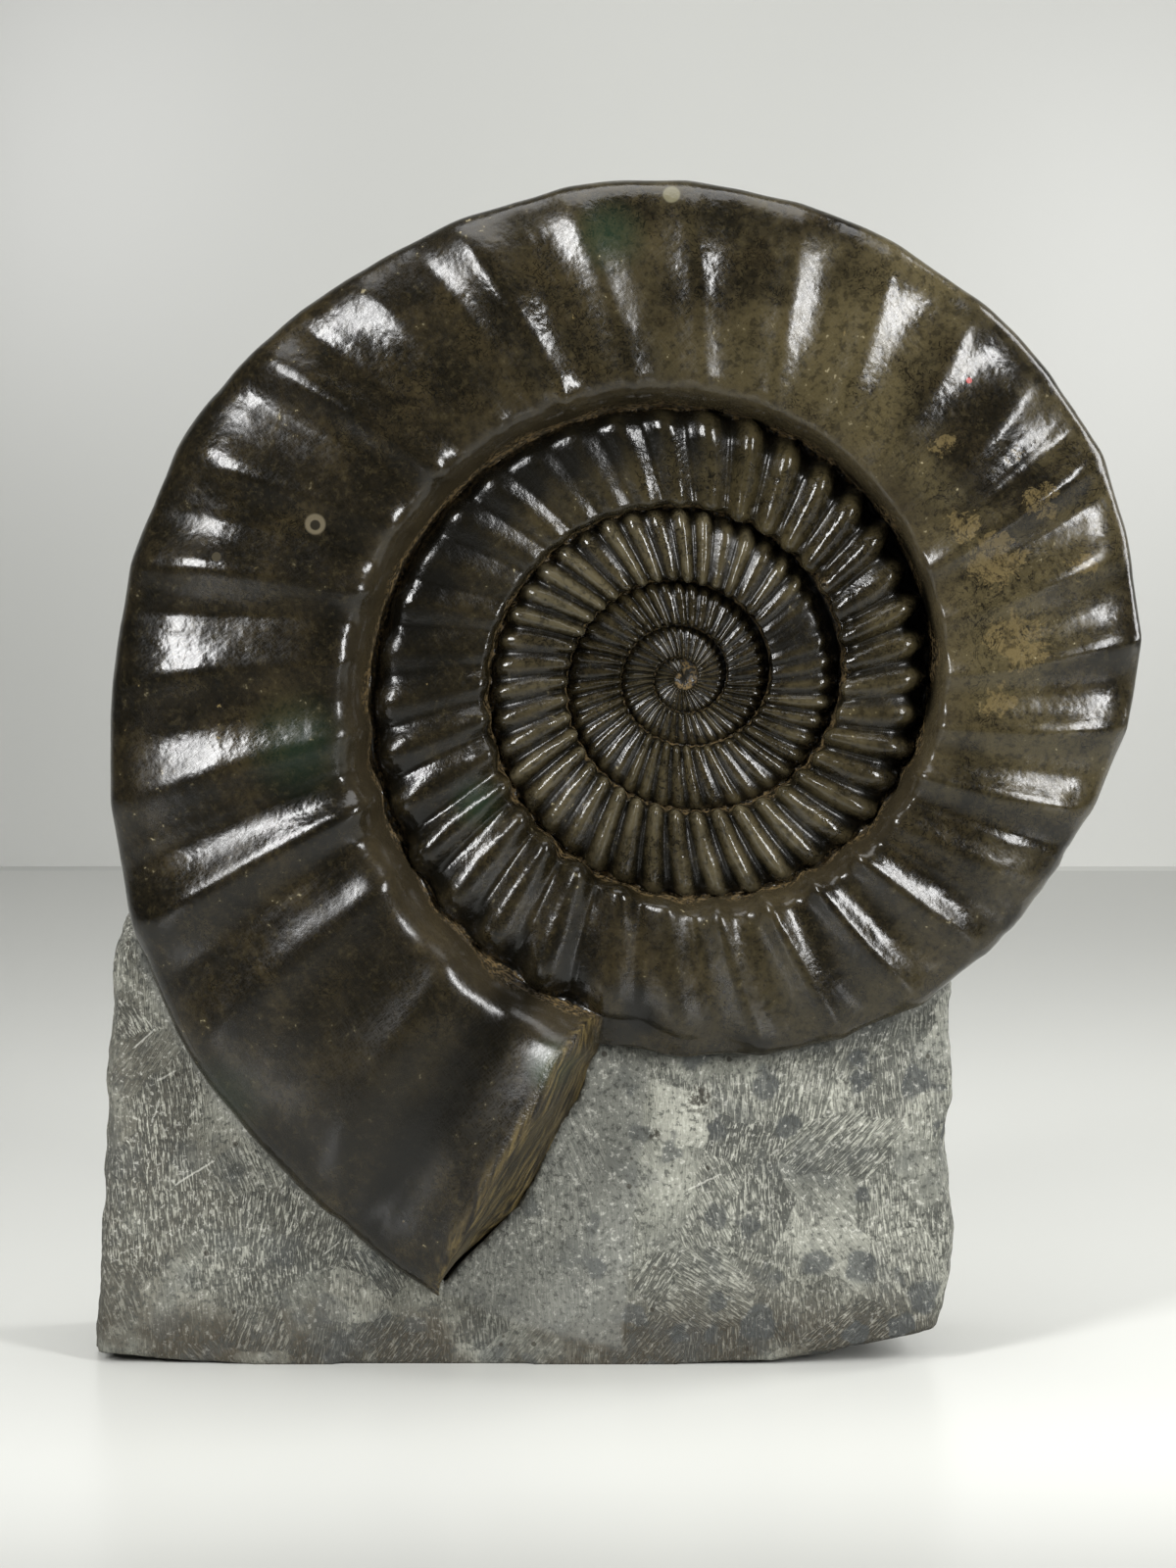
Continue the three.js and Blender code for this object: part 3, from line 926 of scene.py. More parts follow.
@dataclass(frozen=True)
class TooledLimestone:
    """The block's finish: grey limestone with scraped strokes, dark blotches, a browner foot and left edge
    that are partly painted shade, and painted shade in the groove below the shell's edge.
    """

    dark: Colour = srgb(66, 67, 63)
    body: Colour = srgb(133, 134, 124)
    scraped: Colour = srgb(181, 181, 169)
    blotch: Colour = srgb(70, 73, 73)
    # Painted shade: the darker grey of the smooth groove below the shell's edge.
    smooth: Colour = srgb(110, 111, 106)
    # Brown staining and painted shade on the foot and the left edge.
    brown_and_shade: Colour = srgb(64, 59, 49)
    pit: Colour = srgb(48, 44, 36)
    pale: Colour = srgb(216, 215, 205)
    clouds_per_metre: float = 30.0
    stains_per_metre: float = 26.0
    blotches_per_metre: float = 40.0
    crumbs_per_metre: float = 420.0
    lumps_per_metre: float = 45.0
    patches_per_metre: float = 36.0
    wander_per_metre: float = 40.0
    patch_wander: float = 0.02
    stroke_size: Point = (1300.0, 1300.0, 150.0)
    main_angle: float = math.radians(4.0)
    widest_angle: float = math.radians(58.0)
    foot_height: float = 0.06
    brown_and_shade_reach: float = 0.2
    spots: Pairs = ((44.0, 0.38), (63.0, 0.4))
    pits: tuple[float, float] = (95.0, 0.13)
    brown_pits: tuple[Point, ...] = ((7.3, -178.4, 8.0), (-11.8, -193.3, 4.0))
    scratch_shake: float = 0.004
    scratches: tuple[Scratch, ...] = (
        Scratch((-230.1, -154.3), (-221.8, -146.8)), Scratch((-221.0, -168.8), (-213.1, -164.6)),
        Scratch((-212.6, -212.8), (-196.9, -203.2)), Scratch((-223.0, -186.2), (-220.1, -177.1)),
        Scratch((-150.4, -243.1), (-143.8, -237.7)), Scratch((5.2, -215.3), (18.5, -208.6)),
    )
    gloss: float = 0.3
    bump_strength: float = 0.9
    bump_millimetres: float = 1.1

    def build(self, effects: SharedEffects, axis: Vector, low: Vector, high: Vector) -> bpy.types.Material:
        """Builds the material.

        Args:
            effects: The shared node groups.
            axis: The coil axis's point on the middle plane, in metres.
            low: The block's lowest corner.
            high: The block's highest corner.

        Returns:
            The material.
        """
        material, sketch, shader = new_material("tooled_limestone")
        place = sketch.place()
        x, _, z = sketch.parted(place)
        groove = sketch.painted("groove")
        crumbs = sketch.noise(place, self.crumbs_per_metre, 3.0, 0.7)
        strokes, tone, drawn = self._strokes(sketch, place)
        foot = sketch.span(z, low.z + self.foot_height, low.z, 0.0, 1.2)
        left = sketch.span(x, low.x + self.brown_and_shade_reach, low.x, 0.0, 0.75)
        risen = sketch.math("SUBTRACT", 1.0, sketch.times(foot, 0.6), clamp=True)
        stained = sketch.span(sketch.noise(place, self.stains_per_metre, 3.0, 0.6), 0.3, 0.6)
        clouds = sketch.group(effects.mottle, {"Vector": place, "Scale": self.clouds_per_metre}, "Broad")
        toned = sketch.noise(place, self.blotches_per_metre, 3.0, 0.55)
        bare = sketch.span(x, low.x, high.x, 0.3, 1.0)
        spots = [sketch.times(self._pits(sketch, effects, place, *size), bare, 0.8) for size in self.spots]
        colour = sketch.layered(
            sketch.shade(clouds, ((0.28, self.dark), (0.52, self.body), (0.8, self.scraped))),
            (sketch.span(tone, 0.55, 1.0, 0.0, 0.5), self.dark),
            (sketch.span(tone, 0.45, 0.0, 0.0, 0.4), self.scraped),
            # Brown towards the foot and the left edge: partly staining, partly painted shade.
            (sketch.times(sketch.math("MAXIMUM", foot, left), stained), self.brown_and_shade),
            (sketch.times(sketch.span(strokes, 0.5, 1.0, 0.0, 0.55), drawn, risen), self.scraped),
            (sketch.times(sketch.span(strokes, 0.5, 0.0, 0.0, 0.65), drawn), self.dark),
            # Painted shade in the smooth groove below the shell's edge.
            (sketch.times(groove, 0.6), self.smooth),
            (sketch.span(toned, 0.54, 0.66, 0.0, 0.35), self.blotch),
            *((spot, self.blotch) for spot in spots),
            (sketch.times(sketch.span(crumbs, 0.43, 0.33, 0.0, 0.4), risen), self.pale),
            (sketch.span(crumbs, 0.54, 0.64, 0.0, 0.75), self.dark),
        )
        sketch.feed(shader.inputs["Base Color"], self._marks(sketch, effects, place, axis, crumbs, colour))
        sketch.feed(shader.inputs["Roughness"], sketch.span(crumbs, 0.2, 0.8, 0.82, 0.97))
        kept = sketch.math("SUBTRACT", 1.0, groove)
        lumps = sketch.noise(place, self.lumps_per_metre, 2.0)
        height = sketch.total(
            sketch.times(strokes, kept, drawn, 0.8),
            sketch.times(crumbs, 0.8),
            sketch.times(lumps, 0.7),
        )
        normal = sketch.bump(height, self.bump_strength, self.bump_millimetres)
        sketch.feed(shader.inputs["Normal"], normal)
        shader.inputs["Specular IOR Level"].default_value = self.gloss
        return material

    @staticmethod
    def _pits(sketch: Sketch, effects: SharedEffects, place: Socket, scale: float, size: float) -> Socket:
        """Returns where pits lie, by the number of cells to the metre and a pit's share of its cell."""
        return sketch.group(effects.pits, {"Vector": place, "Scale": scale, "Size": size})

    def _marks(self, sketch: Sketch, effects: SharedEffects, place: Socket, axis: Vector, crumbs: Socket,
               colour: Socket) -> Socket:
        """Lays the brown pits and the scored lines.

        Args:
            sketch: The material's nodes.
            effects: The shared node groups.
            place: The coordinates.
            axis: The coil axis's point.
            crumbs: The stone's fine crumbs.
            colour: The colour so far.

        Returns:
            The colour with the marks.
        """
        flat = sketch.vector("MULTIPLY", place, (1.0, 0.0, 1.0))
        pits = self._pits(sketch, effects, place, *self.pits)
        for right, up, radius in self.brown_pits:
            centre = on_show_side(axis, right, up)
            inputs = {"Vector": flat, "Centre": centre, "Radius": radius * MM, "Edge": 0.6 * radius * MM}
            near = sketch.group(effects.spot, inputs)
            pits = sketch.math("MAXIMUM", pits, sketch.times(near, sketch.span(crumbs, 0.46, 0.52)))
        shaken = sketch.moved(flat, crumbs, (self.scratch_shake, 0.0, self.scratch_shake))
        scored = 0.0
        for scratch in self.scratches:
            scored = sketch.math("MAXIMUM", scored, scratch.mask(sketch, effects, shaken, axis))
        front = sketch.math("LESS_THAN", sketch.parted(place)[1], axis.y)
        return sketch.layered(
            colour,
            (sketch.times(pits, 0.75), self.pit),
            (sketch.times(scored, front, 0.45), self.pale),
        )

    def _strokes(self, sketch: Sketch, place: Socket) -> tuple[Socket, Socket, Socket]:
        """Scrapes the stone in patches, each with strokes in one direction.

        Args:
            sketch: The material's nodes.
            place: The coordinates.

        Returns:
            The strokes' height, each patch's own tone and how plain its strokes are, 0 to 1.
        """
        wander = sketch.noise(place, self.wander_per_metre, 2.0, 0.5).node.outputs["Color"]
        ragged = sketch.moved(place, wander, (self.patch_wander,) * 3)
        cells = sketch.node("ShaderNodeTexVoronoi", {"Vector": ragged, "Scale": self.patches_per_metre})
        way, tone, plain = sketch.node("ShaderNodeSeparateColor", {0: cells.outputs["Color"]}).outputs
        swing = sketch.math("SUBTRACT", sketch.times(way, 2.0), 1.0)
        angle = sketch.total(sketch.times(swing, swing, swing, self.widest_angle), self.main_angle)
        inputs = {"Vector": place, "Angle": angle}
        spun = sketch.node("ShaderNodeVectorRotate", inputs, rotation_type="Y_AXIS").outputs[0]
        along = sketch.vector("MULTIPLY", spun, self.stroke_size)
        strokes = sketch.span(sketch.noise(along, 1.0, 2.0, 0.65), 0.36, 0.64)
        return strokes, tone, sketch.span(plain, 0.1, 0.7, 0.3, 1.0)


@dataclass
class AmmoniteShell:
    """The fossil: one closed surface over both flanks, the last turn's venter, the heart and the mouth."""

    coil: Coil = field(default_factory=Coil)
    node: str = "ammonite"
    column_step: float = 0.8
    wall: Pairs = (
        (0.0, 0.0), (0.018, 0.34), (0.042, 0.64), (0.068, 0.83), (0.096, 0.935), (0.126, 0.985), (0.165, 1.0),
    )
    covered_flank: Pairs = (
        (0.22, 1.0), (0.31, 1.0), (0.41, 1.0), (0.51, 0.995), (0.61, 0.985), (0.7, 0.965), (0.78, 0.935),
        (0.85, 0.89), (0.91, 0.82), (0.95, 0.74), (0.98, 0.63),
    )
    shaded_flank: tuple[float, ...] = (0.8, 0.83, 0.865, 0.9, 0.935, 0.965, 0.98, 0.965, 0.9, 0.79, 0.65)
    free_flank: Pairs = (
        (0.22, 1.0), (0.3, 0.998), (0.4, 0.985), (0.5, 0.962), (0.59, 0.93), (0.68, 0.888), (0.76, 0.84),
        (0.825, 0.79), (0.875, 0.74), (0.915, 0.69), (0.945, 0.64),
    )
    venter: Pairs = (
        (0.965, 0.59), (0.98, 0.51), (0.99, 0.41), (0.997, 0.22), (1.0, 0.0), (0.997, -0.22), (0.99, -0.41),
        (0.98, -0.51), (0.965, -0.59),
    )
    relief: Pairs = (
        (0.0, 0.2), (0.03, 0.6), (0.07, 1.0), (0.12, 1.1), (0.2, 0.95), (0.5, 0.9), (0.8, 1.0), (0.92, 0.9),
        (0.97, 0.45), (1.0, 0.12),
    )
    covered_relief: Pairs = (
        (0.0, 0.2), (0.03, 0.7), (0.06, 1.3), (0.09, 1.6), (0.14, 1.4), (0.22, 1.0), (0.4, 0.9), (0.6, 1.0),
        (0.8, 1.3), (0.9, 1.4), (0.95, 1.0), (1.0, 0.3),
    )
    fading_relief: Pairs = (
        (0.0, 0.0), (0.04, 0.15), (0.085, 0.8), (0.12, 1.1), (0.165, 0.8), (0.22, 0.65), (0.36, 0.9),
        (0.55, 1.2), (0.8, 1.1), (0.92, 0.9), (0.97, 0.45), (1.0, 0.12),
    )
    fading_span: tuple[float, float] = (-35.0, 165.0)
    fading_run: float = 30.0
    rib_strengths: tuple[float, float] = (0.5, 1.25)
    worn: tuple[WornPatch, ...] = (
        WornPatch(80.0, 26.0, 0.75), WornPatch(-700.0, 45.0, 0.3), WornPatch(-215.0, 90.0, 0.3),
    )
    crest_softness: float = 0.18
    rib_narrowness: float = 1.5
    cleft_steepness: float = 0.6
    dive_start: float = 0.74
    dive_run: float = 0.24
    dive_depth: float = 0.55
    inner_wall: float = 0.55
    heart_rise: float = 0.9
    heart_turn: float = 5.4
    # Painted shade in the cleft mask: its width at the cleft's floor, its start on the older turn's edge, the
    # shaded side (which also leans the flank), the hollows between ribs and its strength.
    cleft_shade_width: float = 0.03
    cleft_shade_start: float = 0.77
    cleft_shade_run: float = 0.14
    shaded_side: tuple[float, float] = (-235.0, 125.0)
    shaded_start: float = 0.2
    shaded_run: float = 0.5
    lit_crest: float = 0.4
    pocket_start: float = 0.45
    pocket_run: float = 0.4
    shade: float = 0.8
    crust_share: float = 0.02
    crust_limits: tuple[float, float] = (0.15, 2.4)
    crust_wave: float = 11.0
    crust_swing: float = 1.4
    waves: Pairs = ((34.0, 1.1), (11.0, 0.4))
    wave_depth: float = 40.0
    full_wave_radius: float = 120.0
    nicked: tuple[float, float] = (-36.0, 20.0)
    nick_start: float = 0.9
    nicks: Pairs = ((7.0, 1.6),)
    break_waves: Pairs = ((22.0, 2.4), (9.0, 1.5), (3.5, 0.7))
    break_fade: float = 0.45
    lip_columns: float = 3.0
    lip_light: float = 0.55
    lip_step: float = 0.2
    edge_steps: int = 14
    edge_swing: float = 0.45
    seed: int = 7

    def __post_init__(self) -> None:
        """Lays out the columns along the coil."""
        steps = int((self.coil.mouth - self.coil.start) / self.column_step)
        self.angles = self.coil.mouth - self.column_step * np.arange(steps, -1, -1)
        self.turn_columns = round(TURN / self.column_step)
        self.first_free = len(self.angles) - 1 - self.turn_columns
        self.edge_places = np.linspace(0.0, 1.0, self.edge_steps)
        dice = np.random.default_rng(self.seed + 1)
        self.edge_wobble = dice.uniform(-self.edge_swing, self.edge_swing, self.edge_steps)

    def rib_wave(self) -> tuple[Array, Array]:
        """Finds the ribs along the columns.

        Returns:
            How near each column is to a crest, 0 to 1, and the rib's own strength.
        """
        crests = self.coil.crests()
        dice = np.random.default_rng(self.seed)
        strengths = dice.uniform(*self.rib_strengths, len(crests))
        after = np.clip(np.searchsorted(crests, self.angles, side="right"), 1, len(crests) - 1)
        share = (self.angles - crests[after - 1]) / (crests[after] - crests[after - 1])
        soft = self.crest_softness
        off = np.hypot(2.0 * np.minimum(share, 1.0 - share), soft) - soft
        hollowed = (1.0 - off / (math.hypot(1.0, soft) - soft)) ** 2
        rounded = np.abs(np.cos(math.pi * share)) ** self.rib_narrowness
        crest = blend(rounded, hollowed, self.coil.emerged(self.angles))
        strength = np.where(share < 0.5, strengths[after - 1], strengths[after])
        for patch in self.worn:
            strength = strength * blend(1.0, patch.left, bump_at(self.angles, patch.angle, patch.half_length))
        return crest, strength

    def relief_at(self, angle: Array, across: Array) -> Array:
        """Finds how strongly the ribs stand; most of the last turn is worn inside.

        Args:
            angle: The angle along the coil.
            across: The share of the whorl's width.

        Returns:
            The share of the ribs' height.
        """
        covered, free, fading = (
            Coil.lines(table, across) for table in (self.covered_relief, self.relief, self.fading_relief)
        )
        start, end = self.fading_span
        worn = ease((angle - start) / self.fading_run) * (1.0 - ease((angle - end) / self.fading_run))
        return blend(blend(covered, free, self.coil.emerged(angle)), fading, worn)

    def crust_width(self) -> Array:
        """Finds how far the crust reaches from the seams.

        Returns:
            The width at each column, in millimetres.
        """
        waver = np.array([noise.noise(Vector((angle / self.crust_wave, 0.0, 0.0))) for angle in self.angles])
        width = np.clip(self.crust_share * self.coil.seam(self.angles), *self.crust_limits)
        return width * (1.0 + self.crust_swing * waver)

    def section(self) -> tuple[Array, Array, Array, Array]:
        """Works out the smooth whorl's section at every column.

        Returns:
            Flank shares across, radii and heights by column and row, and the venter's (across, radius, depth)
            stack.
        """
        coil, angle = self.coil, self.angles[:, None]
        half, inner = coil.half_thickness(angle), coil.seam(angle)
        out = coil.emerged(angle)
        wall = np.array(self.wall)
        covered, free = np.array(self.covered_flank), np.array(self.free_flank)
        flank_across = blend(covered[None, :, 0], free[None, :, 0], out)
        flank_share = blend(covered[None, :, 1], free[None, :, 1], out)
        leaning = bump_at(angle, *self.shaded_side) * (1.0 - out)
        flank_share = blend(flank_share, np.array(self.shaded_flank), leaning)
        dive = ease((flank_across - self.dive_start) / self.dive_run)
        flank_share = flank_share - self.dive_depth * (coil.cleft(angle + TURN) * (1.0 - out) * dive)
        wall_across = wall[None, :, 0] * blend(self.inner_wall, 1.0, out)
        wall_across = wall_across * (1.0 - self.cleft_steepness * coil.cleft(angle))
        level = coil.seam_level(angle)
        wall_top = half * blend(1.0, self.shaded_flank[0], leaning)
        wall_height = level + (wall_top - level) * wall[None, :, 1]
        across = np.concatenate([wall_across, flank_across], axis=1)
        height = np.concatenate([wall_height, flank_share * half], axis=1)
        radius = inner + across * (coil.flank_end(angle) - inner)
        edge = np.array(self.venter)
        last = slice(self.first_free, None)
        rim = coil.rim(angle[last])
        venter_radius = inner[last] + edge[None, :, 0] * (rim - inner[last])
        venter_depth = -edge[None, :, 1] * half[last]
        venter_across = np.broadcast_to(edge[None, :, 0], venter_radius.shape)
        return across, radius, height, np.stack([venter_across, venter_radius, venter_depth])

    def surface(self) -> tuple[list[Array], dict[str, tuple[Values, Values, Values]]]:
        """Raises the ribs and wear on the section.

        Returns:
            Positions of the show flank, the far flank and the venter, and by name the values painted on each.
        """
        coil, angle, last = self.coil, self.angles[:, None], slice(self.first_free, None)
        across, radius, height, (edge_across, edge_radius, edge_depth) = self.section()
        crest, strength = self.rib_wave()
        wave = (crest - (1.0 - coil.crest_rise)) * strength * coil.rib_height(self.angles)
        window, edge_window = self.relief_at(angle, across), self.relief_at(angle[last], edge_across)
        grids = []
        for side in Side:
            full_radius = np.concatenate([radius, radius[:, -1:] + 1.0], axis=1)
            full_depth = side.value * np.concatenate([height, height[:, -1:] - 1.0], axis=1)
            radius_run, depth_run = (np.gradient(line, axis=1)[:, :-1] for line in (full_radius, full_depth))
            length = np.hypot(radius_run, depth_run)
            lift = wave[:, None] * window + self.roughness(self.angles, across, radius, side)
            outward = radius + lift * (-side.value * depth_run) / length
            depth = side.value * height + lift * side.value * radius_run / length
            grids.append(self.points(angle, across, outward, depth))
        rough = self.roughness(self.angles[last], edge_across, edge_radius, Side.SHOW)
        lift = wave[last, None] * edge_window + rough
        slant = np.arctan2(np.gradient(edge_radius, axis=1), np.gradient(edge_depth, axis=1))
        outward, depth = edge_radius + lift * np.cos(slant), edge_depth - lift * np.sin(slant)
        grids.append(self.points(angle[last], edge_across, outward, depth))
        rib = (crest * np.clip(strength, 0.0, 1.0))[:, None] * np.clip(window, 0.0, 1.0)
        turn = np.broadcast_to((coil.mouth - angle) / TURN, across.shape)
        painted = {name: (mask, mask, 0.0) for name, mask in self.masks(across, crest[:, None]).items()}
        painted["rib"] = (rib, rib, crest[last, None] * np.clip(edge_window, 0.0, 1.0))
        painted["turn"] = (turn, turn, 0.5)
        return grids, painted

    def masks(self, across: Array, crest: Array) -> dict[str, Array]:
        """Works out where the flanks have crust, painted shade, and painted light on the shoulder wall.

        Args:
            across: The share of the whorl's width by column and row.
            crest: How near each column is to a crest, 0 to 1.

        Returns:
            The masks named seam, for crust; cleft, for painted shade; and wall, for painted light.
        """
        coil, angle = self.coil, self.angles[:, None]
        out = coil.emerged(angle)
        width = coil.flank_end(angle) - coil.seam(angle)
        crust = self.crust_width()[:, None]
        near_seam = np.clip(1.0 - across * width / crust, 0.0, 1.0)
        under_next = np.clip(1.0 - (1.0 - across) * width / crust, 0.0, 1.0) * (angle < coil.free_from)
        # Painted shade: the cleft's floor, the older turn's edge under the cleft, the shaded side of the
        # second turn and the hollows between its ribs.
        sunk = np.clip(1.0 - across / self.cleft_shade_width, 0.0, 1.0) * coil.cleft(angle)
        dived_shade = ease((across - self.cleft_shade_start) / self.cleft_shade_run) * coil.cleft(angle + TURN)
        leaning = ease((across - self.shaded_start) / self.shaded_run) * bump_at(angle, *self.shaded_side)
        leaning = leaning * (1.0 - self.lit_crest * crest)
        pocket_shade = ease((across - self.pocket_start) / self.pocket_run) * (1.0 - crest)
        pocket_shade = pocket_shade * (angle > coil.free_from - TURN)
        dark = np.maximum(dived_shade, self.shade * np.maximum(leaning, pocket_shade))
        return {
            "seam": np.maximum(near_seam, under_next),
            "cleft": np.maximum(sunk, dark * (1.0 - out)),
            # Painted light on the last turn's shoulder wall.
            "wall": (1.0 - ease(across / self.wall[-1][0])) * out,
        }

    def roughness(self, angle: Array, across: Array, radius: Array, side: Side) -> Array:
        """Makes the surface a little uneven: long waves, and nicks on the lower right rim.

        Args:
            angle: The columns' angles.
            across: The share of the whorl's width by column and row.
            radius: The radius by column and row.
            side: The flank.

        Returns:
            How far each point stands out, in millimetres.
        """
        result = np.zeros(across.shape)
        nicked = bump_at(angle, *self.nicked)
        for column, place in enumerate(np.radians(angle)):
            for row in range(across.shape[1]):
                reach = radius[column, row]
                right, up = reach * math.cos(place), reach * math.sin(place)
                spot = Vector((right, side.value * self.wave_depth, up))
                result[column, row] = min(1.0, reach / self.full_wave_radius) * uneven(spot, self.waves)
                if nicked[column] > 0.0 and across[column, row] > self.nick_start:
                    result[column, row] += nicked[column] * uneven(spot, self.nicks)
        return result

    def points(self, angle: Array, across: Array, radius: Array, depth: Array) -> Array:
        """Places points of the coil about its axis.

        Args:
            angle: The columns' angles at the seam.
            across: The share of the whorl's width.
            radius: The radius.
            depth: The depth from the middle plane.

        Returns:
            The points, in millimetres.
        """
        turned = self.coil.turned(angle, across, depth)
        ragged = np.interp(across, self.edge_places, self.edge_wobble)
        turned = turned + np.radians(ragged) * self.coil.at_mouth(angle) ** 2
        return np.stack([radius * np.cos(turned), depth, radius * np.sin(turned)], axis=-1)

    def mouth_patch(self, show: Array, far: Array, below: Array) -> Array:
        """Fills the broken mouth between the two flanks' edges with a rough face.

        Args:
            show: The show flank's edge at the mouth, from the seam outwards.
            far: The far flank's edge.
            below: The venter of the older whorl under the mouth, from the show side to the far side.

        Returns:
            Points by row and position across, without the first row, which is the older whorl's own venter.
        """
        count = len(below)
        share = (np.arange(count) + 1.0)[None, :, None] / (count + 1.0)
        flat = blend(show[:, None, :], far[:, None, :], share)
        reach = np.linspace(0.0, 1.0, len(show))
        fade = np.clip(1.0 - reach / self.break_fade, 0.0, 1.0)[:, None, None]
        patch = flat + (below[None] - flat[0][None]) * fade
        turned = math.radians(self.coil.mouth)
        ahead = np.array([-math.sin(turned), 0.0, math.cos(turned)])
        for row in range(1, patch.shape[0]):
            for k in range(count):
                patch[row, k] += ahead * uneven(Vector(patch[row, k]), self.break_waves)
        return patch[1:]

    def build(self) -> bpy.types.Object:
        """Builds the mesh about the coil axis, moved to where the solid stands.

        Returns:
            The shell's object.
        """
        grids, painted = self.surface()
        show, far, venter = grids
        patch = self.mouth_patch(show[-1], far[-1], venter[0])
        grids.append(patch)
        raised = np.array([0.0, self.heart_rise, 0.0])
        heart = np.array([[0.0, show[0, 0, 1], 0.0] - raised, [0.0, far[0, 0, 1], 0.0] + raised])
        stacks = [*(grid.reshape(-1, 3) for grid in grids), heart]
        starts = np.cumsum([0] + [len(stack) for stack in stacks])
        shapes = [grid.shape[:2] for grid in grids]
        numbers = [start + np.arange(math.prod(shape)).reshape(shape) for start, shape in zip(starts, shapes)]
        layers = {name: (*parts, 0.0) for name, parts in painted.items()}
        layers["broken"] = (self.lip(show), self.lip(far), self.lip(venter), self.lit_break(patch))
        mesh = bpy.data.meshes.new("ammonite_shell")
        positions = np.concatenate(stacks) * MM
        low, high = (np.array(corner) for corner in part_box(self.node))
        middle = (low + high) / 2.0 - (positions.min(axis=0) + positions.max(axis=0)) / 2.0
        self.axis = Vector((middle[0], middle[1], high[2] - positions[:, 2].max()))
        mesh.from_pydata((positions + np.array(self.axis)).tolist(), [], self.faces(*numbers, starts[4]))
        for name, parts in layers.items():
            values = [np.broadcast_to(part, shape).ravel() for part, shape in zip(parts, shapes)]
            values.append(np.full(2, float(name == "turn") * self.heart_turn))
            layer = mesh.attributes.new(name, "FLOAT", "POINT")
            layer.data.foreach_set("value", np.concatenate(values).astype(np.float32))
        mesh.shade_smooth()
        piece = bpy.data.objects.new("ammonite_shell", mesh)
        bpy.context.collection.objects.link(piece)
        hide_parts(self.node)
        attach(piece, "root")
        return piece

    def lip(self, grid: Array) -> Array:
        """Returns how much of the mouth's break shows on the last columns of a grid."""
        back = np.arange(grid.shape[0] - 1, -1, -1)[:, None]
        return np.broadcast_to(np.clip(1.0 - back / self.lip_columns, 0.0, 1.0) ** 2, grid.shape[:2])

    def lit_break(self, patch: Array) -> Array:
        """Returns how much the break's own colour shows on the mouth: less at the show side's dark lip."""
        position = np.arange(patch.shape[1])
        return np.broadcast_to(np.clip(self.lip_light + self.lip_step * position, 0.0, 1.0), patch.shape[:2])

    def faces(self, show: Array, far: Array, venter: Array, patch: Array,
              heart: int) -> list[tuple[int, ...]]:
        """Joins the vertices.

        Args:
            show: Vertex numbers of the show flank by column and row.
            far: Those of the far flank.
            venter: Those of the venter by column of the last turn and row.
            patch: Those of the mouth by row and position across.
            heart: The number of the show side's middle vertex; the far side's follows it.

        Returns:
            The faces, all facing outwards.
        """
        first, turn = self.first_free, self.turn_columns
        covered, free = slice(0, first + 1), slice(first, None)
        across = np.concatenate([show[-1][1:, None], patch, far[-1][1:, None]], axis=1)
        bottom = np.concatenate([show[-1][:1], venter[0], far[-1][:1]])
        strips = (
            np.concatenate([show[covered], show[turn:, :1]], axis=1),
            np.concatenate([far[turn:, :1], far[covered, ::-1]], axis=1),
            np.concatenate([show[free], venter, far[free, ::-1]], axis=1),
            np.concatenate([bottom[None], across])[:, ::-1],
        )
        faces = []
        for grid in strips:
            corners = (grid[:-1, :-1], grid[:-1, 1:], grid[1:, 1:], grid[1:, :-1])
            faces.extend(np.stack([corner.ravel() for corner in corners], axis=1))
        top, edge = across[-1], venter[-1]
        faces.extend((top[k + 1], edge[k], edge[k + 1], top[k + 2]) for k in range(len(edge) - 1))
        faces.extend(((top[0], edge[0], top[1]), (top[-2], edge[-1], top[-1])))
        faces.append((show[first, -1], show[-1, 0], venter[0, 0]))
        faces.append((far[first, -1], venter[0, -1], far[-1, 0]))
        for middle, grid, way in ((heart, show, 1), (heart + 1, far, -1)):
            loop = [*grid[: turn + 1, 0], *grid[0, ::-1]]
            faces.extend((middle, *pair[::way]) for pair in zip(loop[:-1], loop[1:]))
        return [tuple(int(number) for number in face) for face in faces]

    def dress(self, piece: bpy.types.Object, effects: SharedEffects) -> None:
        """Puts the polished finish on the shell."""
        piece.data.materials.append(PolishedShell().build(effects, self.axis))


